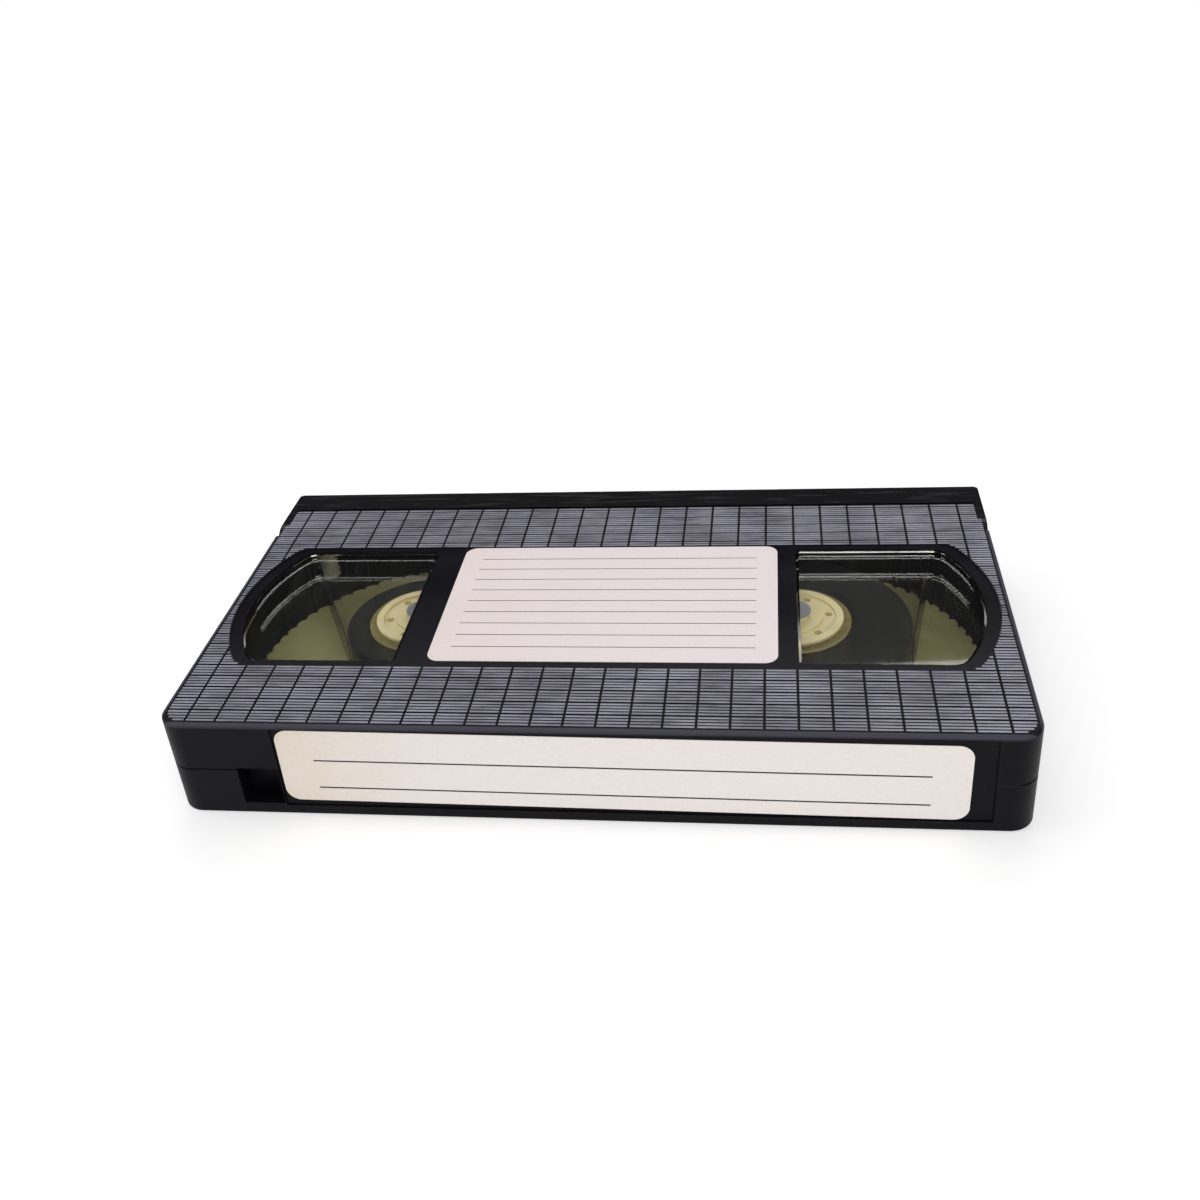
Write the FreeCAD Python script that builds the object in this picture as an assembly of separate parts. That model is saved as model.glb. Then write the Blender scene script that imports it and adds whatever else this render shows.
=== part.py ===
"""Half-inch home video cassette, closed, window side up.

Frame: X along the length, Y from the label spine (-Y) to the tape door (+Y), Z up from the
underside. The origin is the middle of the underside. All lengths are in millimetres.
The cassette is sized from the inside out: tape, reels and their room set the shells.
"""

import FreeCAD
import Part
import math
import os

from FreeCAD import Vector

# Tape and reels
TAPE_WIDTH = 12.65
TAPE_THICK = 0.25        # far thinner in the real tape, drawn thick enough to be a solid
TAPE_SIDE_GAP = 0.6      # tape edge to flange
HUB_R = 13.0
HUB_WALL = 2.5
HUB_WEB = 2.9            # closed top of the drive bore
HUB_SPIGOT = 1.8         # hub ring below the lower flange, sits in the shell's opening
HUB_OPENING_GAP = 2.6    # shell's opening round the hub
SUPPLY_WIND = 5.7        # depth of tape on the supply hub
TAKEUP_WIND = 14.0
FLANGE_R = 44.5
FLANGE_T = 1.4
UPPER_FLANGE_T = 1.0
UPPER_FLANGE_LAP = 1.8   # how far the clear flange rests on the hub's shoulder
TOOTH_COUNT = 72
TOOTH_DEPTH = 1.0
TOOTH_LAND = 0.45        # share of the pitch on the full radius
TOOTH_FOOT = 0.55        # where the steep flank ends
SPLINE_COUNT = 6
SPLINE_WIDTH = 1.6
SPLINE_HEIGHT = 1.3
SPLINE_SETBACK = 4.6     # plain mouth of the drive bore below the splines
MOUTH_STEP = 0.4         # the mouth is this much wider than the splined part
CLAMP_ANGLE = 36.0
CLAMP_DEPTH = 1.8
BOSS_RISE = 0.6          # hub face above the clear flange
NOSE_RISE = 1.15         # button that the leaf spring presses
NOSE_R = 3.2
NOSE_EDGE_R = 0.7
DIMPLE_R = 0.9           # small holes in the hub's upper groove

# Gaps
RUN_GAP = 0.3            # between faces that move past each other
PIN_GAP = 0.05           # radial play of a pin in its hole
FIT_GAP = 0.1            # between fixed pieces that drop into each other

# Shells
WALL = 2.0
FLOOR = 2.0
PLATE_T = 2.0            # top plate under the smooth recess
RECESS_DEPTH = 0.4
REEL_GAP = 2.0           # between the two reels
REEL_SIDE_ROOM = 2.0     # flange to side wall
REEL_SPINE_ROOM = 2.25   # flange to spine wall
REEL_FRONT_ROOM = 10.75  # flange to the door's face
RIB_H = 0.5              # ring on the floor that the reel stands on
RIB_W = 2.0
SEAM_Z = 12.6
SEAM_BEVEL = 0.25
PLATE_RIB_T = 1.2        # two stiffening ribs under the top plate
PLATE_RIB_H = 2.4
PLATE_RIB_OFFSET = 15.0  # from the middle of the reels
CORNER_R = 5.5
FRONT_CORNER_R = 1.2
EDGE_R = 0.6

# Clear windows and the smooth field around them
WINDOW_FLANGE_T = 0.9
WINDOW_FLANGE_LAP = 1.5
WINDOW_SINK = 0.25
WINDOW_BORDER = 2.2
WINDOW_INNER = 0.5       # straight inner edge, outside the reel's centre
WINDOW_INNER_R = 1.2
WINDOW_OUTER_R = 4.0
FIELD_MARGIN = 1.5       # field's end arcs beyond the flange
WINDOW_MARGIN = 3.0      # window's end arc inside the field's
WINDOW_BEVEL = 0.5
FIELD_HALF_Y = 26.25
FIELD_CORNER_R = 5.0

# Ribbed top panel
PANEL_SINK = 0.15
PANEL_RIM = 1.0
PANEL_SPINE_RIM = 1.5
GROOVE_PITCH_X = 7.0
GROOVE_PITCH_Y = 4.18
GROOVE_WIDTH = 0.4
GROOVE_DEPTH = 0.18

# Leaf spring over the hubs
SPRING_T = 0.3
SPRING_W = 9.0
SPRING_TIP_R = 3.6
SPRING_FLAT = 12.0       # half length of the flat middle

# Door
DOOR_T = 1.6
LIP_T = 1.6
LIP_DEPTH = 8.5
ARM_T = 2.2
ARM_GAP = 0.2
FRONT_GAP = 0.6
SWING_GAP = 0.5          # lip to top panel
LIP_BEVEL = 0.6
PIVOT_BACK = 17.0
PIVOT_DROP = 5.5
ARM_FOOT = 9.0           # length of the arm's lower edge
ARM_HEEL = 2.75          # rise of the arm's lower edge at its rear end
ARM_TOE = 2.0            # length of that rise
ARM_NECK_Y = 1.5         # short straight under the arm's round end
ARM_NECK_Z = 0.3
DOOR_LIFT = 0.8
DOOR_PIN_R = 1.3
DOOR_PIN_LENGTH = 4.2
DOOR_WIRE = 0.5
DOOR_SPRING_TURNS = 2

# Tape path
TAPE_SETBACK = 0.85      # tape's face behind the shell's front
POST_R = 2.5
POST_INSET = 16.0        # left post from the end of the cassette
POST_INSET_RIGHT = 14.0
ROLLER_R = 3.0
ROLLER_RIM_H = 1.8
ROLLER_WAIST = 0.3
ROLLER_PIN_R = 1.0
ROLLER_INSET = 9.5
ROLLER_BACK = 13.5
POCKET_END_GAP = 8.0     # loading pocket's end wall to the guide post
MOUTH_SIDE = 4.0         # front opening beyond the guide posts
POCKET_WALL = 1.5
TOWER_R = 5.3
TOWER_BORE_R = 4.1
TOWER_RISE = 0.55        # above the tape's upper edge
TOWER_ROOF = 1.5
LIGHT_WIDTH = 2.6
LIGHT_LOW = 9.0
LIGHT_HIGH = 12.0
LOCATE_R = 2.0
LOCATE_WALL = 1.2
LOCATE_DEPTH = 8.0
LOCATE_SLOT = 2.0        # extra length of the oval locating hole
LOCATE_INSET = 17.5
LOCATE_BACK = 13.0

# Reel brakes
PAWL_X = 6.2
PAWL_EYE_GAP = 0.64      # pawl's eye to the flange
BRAKE_ROOM = 5.95        # pawls' pivots to the front wall of their room
PAWL_EYE_R = 2.4
PAWL_POST_R = 1.2
PAWL_ANGLE = 25.0        # where the pawl meets the flange, seen from the reel's centre
PAWL_TIP_W = 1.2
PAWL_ARM_H = 2.9
PAWL_TAIL_H = 2.4
PAWL_TAIL_W = 1.6
PAWL_TAIL_L = 4.0
LEVER_HALF_W = 1.2
LEVER_EAR_T = 1.2
LEVER_PIVOT_Z = 6.0
LEVER_HUB_R = 1.6
LEVER_PIN_R = 0.8
LEVER_BEAM_H = 2.0
LEVER_PAD_R = 1.8
LEVER_PAD_FORWARD = 8.0
RELEASE_HOLE_R = 2.4
WEDGE_TOP_HALF = 4.3
WEDGE_SPREAD = 0.34      # sideways growth per millimetre of height
WEDGE_T = 1.8
WEDGE_LEAD = 2.6         # in front of the pawls' pivots
WEDGE_REACH = 14.1       # from the lever's pivot
BRAKE_WIRE = 0.5

# Door lock lever
LOCK_T = 1.6
LOCK_H = 3.4
LOCK_PIN_R = 1.0
LOCK_EYE_WALL = 1.0
LOCK_INSET = 1.2         # pivot further in than the bar
LOCK_EYE_GAP = 1.45      # eye to the screw pillar
LOCK_PAD_BACK = 16.5     # these two are behind the door's face
LOCK_NOSE_BACK = 7.4
LOCK_NOSE_GAP = 0.5      # nose to the door arm
LOCK_NOSE_W = 2.4
LOCK_PAD_W = 4.0
LOCK_SLOT_ROOM = 0.8     # the pad and nose swing this far along their slots

# Screws
SCREW_R = 1.3
SCREW_LENGTH = 12.0
SCREW_HEAD_R = 2.5
SCREW_HEAD_H = 1.8
SCREW_SINK = 5.0
PILLAR_R = 3.5
SCREW_INSET_X = 7.0
SCREW_INSET_SPINE = 8.0
SCREW_REEL_GAP = 0.6     # front pair, pillar to flange
SCREW_ANGLE = 31.3       # and their direction from the reel's centre
CROSS_R = 1.5
CROSS_W = 0.75
SCREW_MIDDLE_INSET = 12.0

# Labels and the recording tab's pocket
LABEL_T = 0.12
FACE_LABEL_SIDE = 6.0    # window edge to label, label centred
FACE_LABEL_MARGIN = 1.45
FACE_LABEL_R = 3.0
FACE_LABEL_SHIFT_X = 1.4
FACE_LABEL_SHIFT_Y = 0.9
SPINE_LABEL_LEFT = 26.75   # label's ends from the ends of the cassette
SPINE_LABEL_RIGHT = 13.75
SPINE_LABEL_LOW = 3.5
SPINE_LABEL_TOP = 1.9
SPINE_LABEL_R = 3.2
SPINE_LABEL_TILT = 0.5   # degrees, stuck on slightly askew
SPINE_RECESS = 0.4
SPINE_RECESS_MARGIN = 0.5
SPINE_RECESS_RIGHT = 4.7
SPINE_RECESS_LOW = 2.6
SPINE_RECESS_TOP = 0.8
TAB_POCKET_X = 9.5
TAB_POCKET_Z = 10.0
TAB_POCKET_LOW = 3.1
TAB_POCKET_DEPTH = 5.0
TAB_POCKET_WALL = 1.2
TAB_POCKET_GAP = 0.3     # pocket to the label's bed

# Heights, floor to top
flange_low = FLOOR + RIB_H + RUN_GAP
flange_high = flange_low + FLANGE_T
tape_low = flange_high + TAPE_SIDE_GAP
tape_high = tape_low + TAPE_WIDTH
clear_low = tape_high + TAPE_SIDE_GAP
clear_high = clear_low + UPPER_FLANGE_T
boss_top = clear_high + BOSS_RISE
nose_top = boss_top + NOSE_RISE
spring_low = nose_top + RUN_GAP
window_low = spring_low + SPRING_T + RUN_GAP
plate_low = window_low + WINDOW_FLANGE_T
field_z = plate_low + PLATE_T
top_z = field_z + RECESS_DEPTH

# Plan
reel_x = FLANGE_R + REEL_GAP / 2
half_x = reel_x + FLANGE_R + REEL_SIDE_ROOM + WALL
half_y = (WALL + REEL_SPINE_ROOM + 2 * FLANGE_R + REEL_FRONT_ROOM) / 2
reel_y = -half_y + WALL + REEL_SPINE_ROOM + FLANGE_R
spine_y = -half_y
front_y = half_y - DOOR_T - FRONT_GAP
side_in = half_x - WALL
arm_x = half_x - ARM_T
cheek_x = arm_x - ARM_GAP
cheek_in = cheek_x - WALL + ARM_GAP
panel_end = half_y - LIP_DEPTH - SWING_GAP
shelf_z = top_z - LIP_T - ARM_GAP
shelf_low = shelf_z - PLATE_T
room_end = panel_end - WALL
pivot_y = half_y - PIVOT_BACK
pivot_z = top_z - PIVOT_DROP
field_r = FLANGE_R + FIELD_MARGIN
window_r = field_r - WINDOW_MARGIN
window_half_y = FIELD_HALF_Y - WINDOW_BORDER
ring_in = HUB_R + HUB_OPENING_GAP
arc_in = FLANGE_R + WINDOW_FLANGE_LAP
arc_out = arc_in + POCKET_WALL
bore_r = HUB_R - HUB_WALL
tape_in_y = front_y - TAPE_SETBACK - TAPE_THICK
post_y = tape_in_y - RUN_GAP - POST_R
left_post_x = -half_x + POST_INSET
pocket_half_x = -left_post_x - POCKET_END_GAP
right_post_x = half_x - POST_INSET_RIGHT
roller_x = -half_x + ROLLER_INSET
roller_y = half_y - ROLLER_BACK
locate_x = half_x - LOCATE_INSET
locate_y = half_y - LOCATE_BACK
pawl_reach = FLANGE_R + PAWL_EYE_GAP + PAWL_EYE_R
pawl_y = reel_y + math.sqrt(pawl_reach ** 2 - (reel_x - PAWL_X) ** 2)
room_wall_y = pawl_y + BRAKE_ROOM
tower_y = room_wall_y + TOWER_R - POCKET_WALL / 2
tower_top = tape_high + TOWER_RISE
pawl_low = FLOOR + RUN_GAP
pawl_arm_top = pawl_low + PAWL_ARM_H
pawl_tail_low = pawl_arm_top + RUN_GAP
pawl_top = pawl_tail_low + PAWL_TAIL_H
wedge_y = pawl_y + WEDGE_LEAD
lever_y = wedge_y - WEDGE_REACH
screw_reach = FLANGE_R + SCREW_REEL_GAP + PILLAR_R
screw_front_x = reel_x + screw_reach * math.cos(math.radians(SCREW_ANGLE))
screw_front_y = reel_y + screw_reach * math.sin(math.radians(SCREW_ANGLE))
lock_x = cheek_in - RUN_GAP - LOCK_T / 2
lock_low = FLOOR + RUN_GAP
lock_pivot_x = lock_x - LOCK_INSET
lock_eye_r = LOCK_PIN_R + PIN_GAP + LOCK_EYE_WALL
lock_pivot_y = screw_front_y + PILLAR_R + LOCK_EYE_GAP + lock_eye_r
lock_pad_y = half_y - LOCK_PAD_BACK
lock_nose_y = half_y - LOCK_NOSE_BACK
face_label_x = 2 * (reel_x + WINDOW_INNER - FACE_LABEL_SIDE)
face_label_y = 2 * (FIELD_HALF_Y - FACE_LABEL_MARGIN)
spine_label_x = 2 * half_x - SPINE_LABEL_LEFT - SPINE_LABEL_RIGHT
spine_label_z = top_z - SPINE_LABEL_LOW - SPINE_LABEL_TOP
spine_label_mid = (SPINE_LABEL_LEFT - SPINE_LABEL_RIGHT) / 2
recess_left = -half_x + SPINE_LABEL_LEFT - SPINE_RECESS_MARGIN
recess_right = half_x - SPINE_LABEL_RIGHT + SPINE_RECESS_RIGHT
recess_top = top_z - SPINE_RECESS_TOP
spine_floor_y = spine_y + SPINE_RECESS

SCREW_PLACES = [
    (-half_x + SCREW_INSET_X, spine_y + SCREW_INSET_SPINE),
    (half_x - SCREW_INSET_X, spine_y + SCREW_INSET_SPINE),
    (-screw_front_x, screw_front_y),
    (screw_front_x, screw_front_y),
    (0.0, spine_y + SCREW_MIDDLE_INSET),
]


def block(x0, x1, y0, y1, z0, z1):
    """A box between two corners."""
    return Part.makeBox(x1 - x0, y1 - y0, z1 - z0, Vector(x0, y0, z0))


def rod(x, y, z0, z1, r):
    """An upright cylinder."""
    return Part.makeCylinder(r, z1 - z0, Vector(x, y, z0))


def rod_x(y, z, x0, x1, r):
    """A cylinder along X."""
    return Part.makeCylinder(r, x1 - x0, Vector(x0, y, z), Vector(1, 0, 0))


def tube(x, y, z0, z1, r_out, r_in):
    """An upright tube."""
    return rod(x, y, z0, z1, r_out).cut(rod(x, y, z0 - 1, z1 + 1, r_in))


def slab(points, z0, z1):
    """A straight-sided plate from its plan outline."""
    corners = [Vector(x, y, z0) for x, y in points]
    face = Part.Face(Part.makePolygon(corners + corners[:1]))
    return face.extrude(Vector(0, 0, z1 - z0))


def plate_x(points, x0, x1):
    """A plate from its side outline in Y and Z, thick along X."""
    corners = [Vector(x0, y, z) for y, z in points]
    face = Part.Face(Part.makePolygon(corners + corners[:1]))
    return face.extrude(Vector(x1 - x0, 0, 0))


def polar(x, y, r, degrees):
    """The point at a radius and an angle about a centre in plan."""
    angle = math.radians(degrees)
    return (x + r * math.cos(angle), y + r * math.sin(angle))


def round_uprights(solid, radius, wanted):
    """Round the upright edges whose plan position is wanted."""
    edges = []
    for edge in solid.Edges:
        if len(edge.Vertexes) == 2:
            a = edge.Vertexes[0].Point
            b = edge.Vertexes[1].Point
            if abs(a.x - b.x) < 1e-6 and abs(a.y - b.y) < 1e-6 and wanted(a.x, a.y):
                edges.append(edge)
    return solid.makeFillet(radius, edges)


def edges_at_height(solid, z):
    """The edges that lie flat at one height."""
    found = []
    for edge in solid.Edges:
        box = edge.BoundBox
        if abs(box.ZMin - z) < 1e-6 and abs(box.ZMax - z) < 1e-6:
            found.append(edge)
    return found


def mirrored(solid):
    """The same piece on the other side of the middle plane."""
    return solid.mirror(Vector(0, 0, 0), Vector(1, 0, 0))


def both_sides(solid):
    """A piece and its mirror image."""
    return [solid, mirrored(solid)]


def one(solid):
    """The cleaned single solid of a finished piece."""
    clean = solid.removeSplitter()
    return clean.Solids[0] if len(clean.Solids) == 1 else clean


def save(name, solid):
    """Write a piece to its own file."""
    solid.exportStep("parts/" + name + ".step")


def shell_outline(z0, z1):
    """The block that both shell halves are cut from, as seen from above."""
    body = block(-half_x, half_x, spine_y, front_y, z0, z1)
    body = round_uprights(body, CORNER_R, lambda x, y: y < 0)
    return round_uprights(body, FRONT_CORNER_R, lambda x, y: y > 0)


def shell_room(z0, z1):
    """The room inside the walls."""
    wide = block(-side_in, side_in, spine_y + WALL, arm_rear_y() - WALL, z0, z1)
    narrow = block(-cheek_in, cheek_in, spine_y + WALL, front_y + 1, z0, z1)
    room = wide.fuse(narrow).removeSplitter()
    return round_uprights(room, CORNER_R - WALL, lambda x, y: y < spine_y + WALL + 1)


def arm_rear_y():
    """The rearmost point of the door arm's seat in the shells."""
    return pivot_y - PIVOT_DROP - RUN_GAP


def arm_outline(gap):
    """Side outline of a door arm, grown by a gap, without its round rear end."""
    reach = PIVOT_DROP + gap
    return [
        (pivot_y, pivot_z + reach),
        (pivot_y, pivot_z - reach),
        (pivot_y + ARM_NECK_Y, pivot_z - reach - ARM_NECK_Z),
        (half_y - ARM_FOOT - gap, DOOR_LIFT + ARM_HEEL - gap),
        (half_y - ARM_FOOT + ARM_TOE - gap, DOOR_LIFT - gap),
        (half_y + gap, DOOR_LIFT - gap),
        (half_y + gap, pivot_z + reach),
    ]


def arm_plate(x0, x1, gap):
    """A door arm, or the seat that it lies in when grown by a gap."""
    front = plate_x(arm_outline(gap), x0, x1)
    rear = rod_x(pivot_y, pivot_z, x0, x1, PIVOT_DROP + gap)
    return front.fuse(rear)


def door_room():
    """What both shells leave free for the door."""
    lip = block(-half_x - 1, half_x + 1, panel_end, half_y + 1, shelf_z, top_z + 1)
    left = arm_plate(-half_x - 1, -cheek_x, RUN_GAP)
    notch = block(-half_x - 1, -cheek_x, arm_rear_y(), half_y + 1, pivot_z, top_z + 1)
    return lip.fuse([left, mirrored(left), notch, mirrored(notch)])


def window_plan(side, z0, z1, grow):
    """D-shaped plate beside a reel, with its outline grown outwards."""
    x_in = WINDOW_INNER - grow
    reach_y = window_half_y + grow
    slab_part = block(x_in, window_r + grow + 1, -reach_y, reach_y, z0, z1)
    disc = rod(0, 0, z0, z1, window_r + grow)
    plan = slab_part.common(disc)
    inner_r = WINDOW_INNER_R + grow
    outer_r = WINDOW_OUTER_R + grow
    plan = round_uprights(plan, inner_r, lambda x, y: x < x_in + 1)
    plan = round_uprights(plan, outer_r, lambda x, y: x > x_in + outer_r + 3)
    plan.translate(Vector(reel_x, reel_y, 0))
    return plan if side > 0 else mirrored(plan)


def smooth_field(z0, z1):
    """The long smooth recess that holds the label and both windows."""
    middle = block(-reel_x, reel_x, -FIELD_HALF_Y, FIELD_HALF_Y, z0, z1)
    end = block(reel_x - 1, reel_x + field_r + 1, -FIELD_HALF_Y, FIELD_HALF_Y, z0, z1)
    end = end.common(rod(reel_x, 0, z0, z1, field_r))
    field = middle.fuse([end, mirrored(end)]).removeSplitter()
    field = round_uprights(field, FIELD_CORNER_R, lambda x, y: abs(x) > reel_x + 5)
    field.translate(Vector(0, reel_y, 0))
    return field


def panel_grooves():
    """The crossing grooves of the ribbed top panel, as two lists of cutters."""
    low = top_z - PANEL_SINK - GROOVE_DEPTH
    end_x = half_x - PANEL_RIM
    start_y = spine_y + PANEL_SPINE_RIM
    half_w = GROOVE_WIDTH / 2
    along_y = []
    x = GROOVE_PITCH_X / 2
    while x + half_w < end_x:
        bar = block(x - half_w, x + half_w, start_y, panel_end + 1, low, top_z)
        along_y.extend(both_sides(bar))
        x += GROOVE_PITCH_X
    along_x = []
    y = start_y + GROOVE_PITCH_Y
    while y + half_w < panel_end:
        along_x.append(block(-end_x, end_x, y - half_w, y + half_w, low, top_z))
        y += GROOVE_PITCH_Y
    return along_y, along_x


def arc_wall(z0, z1):
    """The curved wall of the left loading pocket, concentric with the reel."""
    inner_angle = math.degrees(math.asin((room_wall_y - reel_y) / arc_out))
    outer_x = pocket_half_x + POCKET_WALL - reel_x
    outer_angle = 90 + math.degrees(math.asin(outer_x / arc_out))
    ring = tube(-reel_x, reel_y, z0, z1, arc_out, arc_in)
    reach = 2 * arc_out
    centre = (-reel_x, reel_y)
    wedge = [centre]
    for angle in (inner_angle, (inner_angle + outer_angle) / 2, outer_angle):
        wedge.append(polar(-reel_x, reel_y, reach, angle))
    return ring.common(slab(wedge, z0, z1))


def pocket_walls(z0, z1):
    """Curved walls, end walls and the brake room's front wall, for one shell half."""
    arc = arc_wall(z0, z1)
    end_y = reel_y + math.sqrt(arc_in ** 2 - (pocket_half_x - reel_x) ** 2)
    end = block(
        -pocket_half_x - POCKET_WALL, -pocket_half_x, end_y, post_y, z0, z1
    )
    offset = math.sqrt(arc_in ** 2 - (room_wall_y - reel_y) ** 2)
    room = block(
        -reel_x + offset, -TOWER_BORE_R, room_wall_y - POCKET_WALL / 2,
        room_wall_y + POCKET_WALL / 2, z0, z1,
    )
    return both_sides(arc) + both_sides(end) + both_sides(room)


def pocket_floor_cut():
    """The opening under and in front of the loading pockets."""
    cut = block(-pocket_half_x, pocket_half_x, room_wall_y, front_y + 1, -1, FLOOR)
    keep_left = rod(-reel_x, reel_y, -2, FLOOR + 1, arc_out)
    keep_right = rod(reel_x, reel_y, -2, FLOOR + 1, arc_out)
    tower = rod(0, tower_y, -2, FLOOR + 1, TOWER_R)
    return cut.cut([keep_left, keep_right, tower])


def upper_shell():
    """Top half: ribbed panel, smooth field, window openings, spine tongue, inner walls."""
    body = shell_outline(SEAM_Z, top_z)
    body = body.makeFillet(EDGE_R, edges_at_height(body, top_z))
    body = body.makeChamfer(SEAM_BEVEL, edges_at_height(body, SEAM_Z))
    tongue = block(
        recess_left, recess_right, spine_y, spine_y + WALL, SPINE_RECESS_LOW, SEAM_Z
    )
    room = shell_room(SEAM_Z - 1, plate_low)
    room = room.common(block(-half_x, half_x, spine_y, room_end, SEAM_Z - 1, plate_low))
    front_room = block(-cheek_in, cheek_in, room_end, front_y - WALL, SEAM_Z - 1, shelf_low)
    mouth = block(
        left_post_x - POST_R - MOUTH_SIDE, right_post_x + POST_R + MOUTH_SIDE,
        front_y - WALL - 1, front_y + 1, SEAM_Z - 1, shelf_low,
    )
    body = body.cut([room, front_room, mouth])
    inner = pocket_walls(SEAM_Z, shelf_low) + plate_ribs()
    for x, y in SCREW_PLACES:
        inner.append(rod(x, y, SEAM_Z, plate_low, PILLAR_R))
    inner.append(rod(roller_x, roller_y, tape_high + RUN_GAP, plate_low, 2 * ROLLER_PIN_R))
    body = body.fuse(inner + [tongue])
    body = body.cut(door_room())
    body = cut_top(body)
    body = add_spring_studs(body)
    tower_room = rod(0, tower_y, SEAM_Z - 1, tower_top + FIT_GAP, TOWER_R + FIT_GAP)
    cutters = [spine_recess(), tab_pocket(0), tower_room]
    for x, y in SCREW_PLACES:
        cutters.append(rod(x, y, SEAM_Z - 1, screw_tip_z() + 1, SCREW_R + PIN_GAP))
    cutters.append(rod(roller_x, roller_y, SEAM_Z, plate_low, ROLLER_PIN_R + PIN_GAP))
    reach = DOOR_PIN_LENGTH + ARM_T
    cutters.append(rod_x(pivot_y, pivot_z, -half_x, -half_x + reach, DOOR_PIN_R + PIN_GAP))
    cutters.append(rod_x(pivot_y, pivot_z, half_x - reach, half_x, DOOR_PIN_R + PIN_GAP))
    return one(body.cut(cutters))


def plate_ribs():
    """Two ribs along the underside of the top plate, between the windows."""
    end = reel_x + WINDOW_INNER - 2 * WINDOW_FLANGE_LAP
    ribs = []
    for side in (-1, 1):
        y = reel_y + side * PLATE_RIB_OFFSET
        ribs.append(
            block(
                -end, end, y - PLATE_RIB_T / 2, y + PLATE_RIB_T / 2, plate_low - PLATE_RIB_H,
                plate_low,
            )
        )
    return ribs


def cut_top(body):
    """Sink the ribbed panel, its grooves and the smooth field into the top plate."""
    sunk = top_z - PANEL_SINK
    bounds = panel_area(sunk - GROOVE_DEPTH)
    along_y, along_x = panel_grooves()
    body = body.cut(panel_area(sunk))
    body = body.cut([bar.common(bounds) for bar in along_y])
    body = body.cut([bar.common(bounds) for bar in along_x])
    body = body.cut(smooth_field(field_z, top_z + 1))
    windows = []
    for side in (-1, 1):
        windows.append(window_plan(side, plate_low - 1, field_z + 1, FIT_GAP))
    return body.cut(windows)


def panel_area(low):
    """The ribbed panel's area above one height, with the shell's round spine corners."""
    area = block(
        -half_x + PANEL_RIM, half_x - PANEL_RIM, spine_y + PANEL_SPINE_RIM, panel_end + 1,
        low, top_z + 1,
    )
    return round_uprights(area, CORNER_R - PANEL_RIM, lambda x, y: y < 0)


def add_spring_studs(body):
    """Two moulded studs, melted over, that hold the leaf spring under the top plate."""
    seat = plate_low - SPRING_T
    for side in (-1, 1):
        x = side * SPRING_FLAT / 2
        stem = rod(x, reel_y, seat - 1, plate_low, ROLLER_PIN_R)
        head = rod(x, reel_y, seat - 1, seat, 2 * ROLLER_PIN_R)
        body = body.fuse([stem, head])
    return body


def spine_recess():
    """The shallow bed for the spine label."""
    return block(
        recess_left, recess_right, spine_y - 1, spine_floor_y, SPINE_RECESS_LOW, recess_top
    )


def tab_pocket(wall):
    """The pocket left by the broken-out recording tab, or its lining."""
    right = recess_left - TAB_POCKET_GAP
    return block(
        right - TAB_POCKET_X - wall, right + wall, spine_y - (0 if wall else 1),
        spine_y + TAB_POCKET_DEPTH + wall, TAB_POCKET_LOW - wall,
        TAB_POCKET_LOW + TAB_POCKET_Z + wall,
    )


def lower_shell():
    """Bottom half: floor with reel openings, pockets, lamp tower, posts and pillars."""
    body = shell_outline(0, SEAM_Z)
    body = body.makeFillet(EDGE_R, edges_at_height(body, 0))
    body = body.makeChamfer(SEAM_BEVEL, edges_at_height(body, SEAM_Z))
    body = body.cut(shell_room(FLOOR, SEAM_Z + 1))
    tongue = block(
        recess_left - FIT_GAP, recess_right + FIT_GAP, spine_y - 1, spine_y + WALL + FIT_GAP,
        SPINE_RECESS_LOW, SEAM_Z + 1,
    )
    mouth = block(
        left_post_x - POST_R - MOUTH_SIDE, right_post_x + POST_R + MOUTH_SIDE,
        front_y - WALL - 1, front_y + 1, FLOOR, SEAM_Z + 1,
    )
    body = body.cut(mouth)
    body = body.fuse(lower_inside())
    cutters = [tongue, pocket_floor_cut(), door_room(), tab_pocket(0)]
    for side in (-1, 1):
        cutters.append(rod(side * reel_x, reel_y, -1, FLOOR + RIB_H + 1, ring_in))
    for x, y in SCREW_PLACES:
        cutters.append(rod(x, y, -1, SCREW_SINK, SCREW_HEAD_R + FIT_GAP))
        cutters.append(rod(x, y, SCREW_SINK - 1, SEAM_Z + 1, SCREW_R + PIN_GAP))
    cutters.append(rod(0, tower_y, -1, tower_top - TOWER_ROOF, TOWER_BORE_R))
    cutters.append(rod(roller_x, roller_y, FLOOR, tape_low, ROLLER_PIN_R + PIN_GAP))
    cutters.append(rod(0, lever_y + LEVER_PAD_FORWARD, -1, FLOOR + 1, RELEASE_HOLE_R))
    cutters.extend(locating_holes(0, -1, LOCATE_DEPTH))
    cutters.append(light_channel())
    cutters.extend(lock_slots())
    return one(body.cut(cutters))


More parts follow.
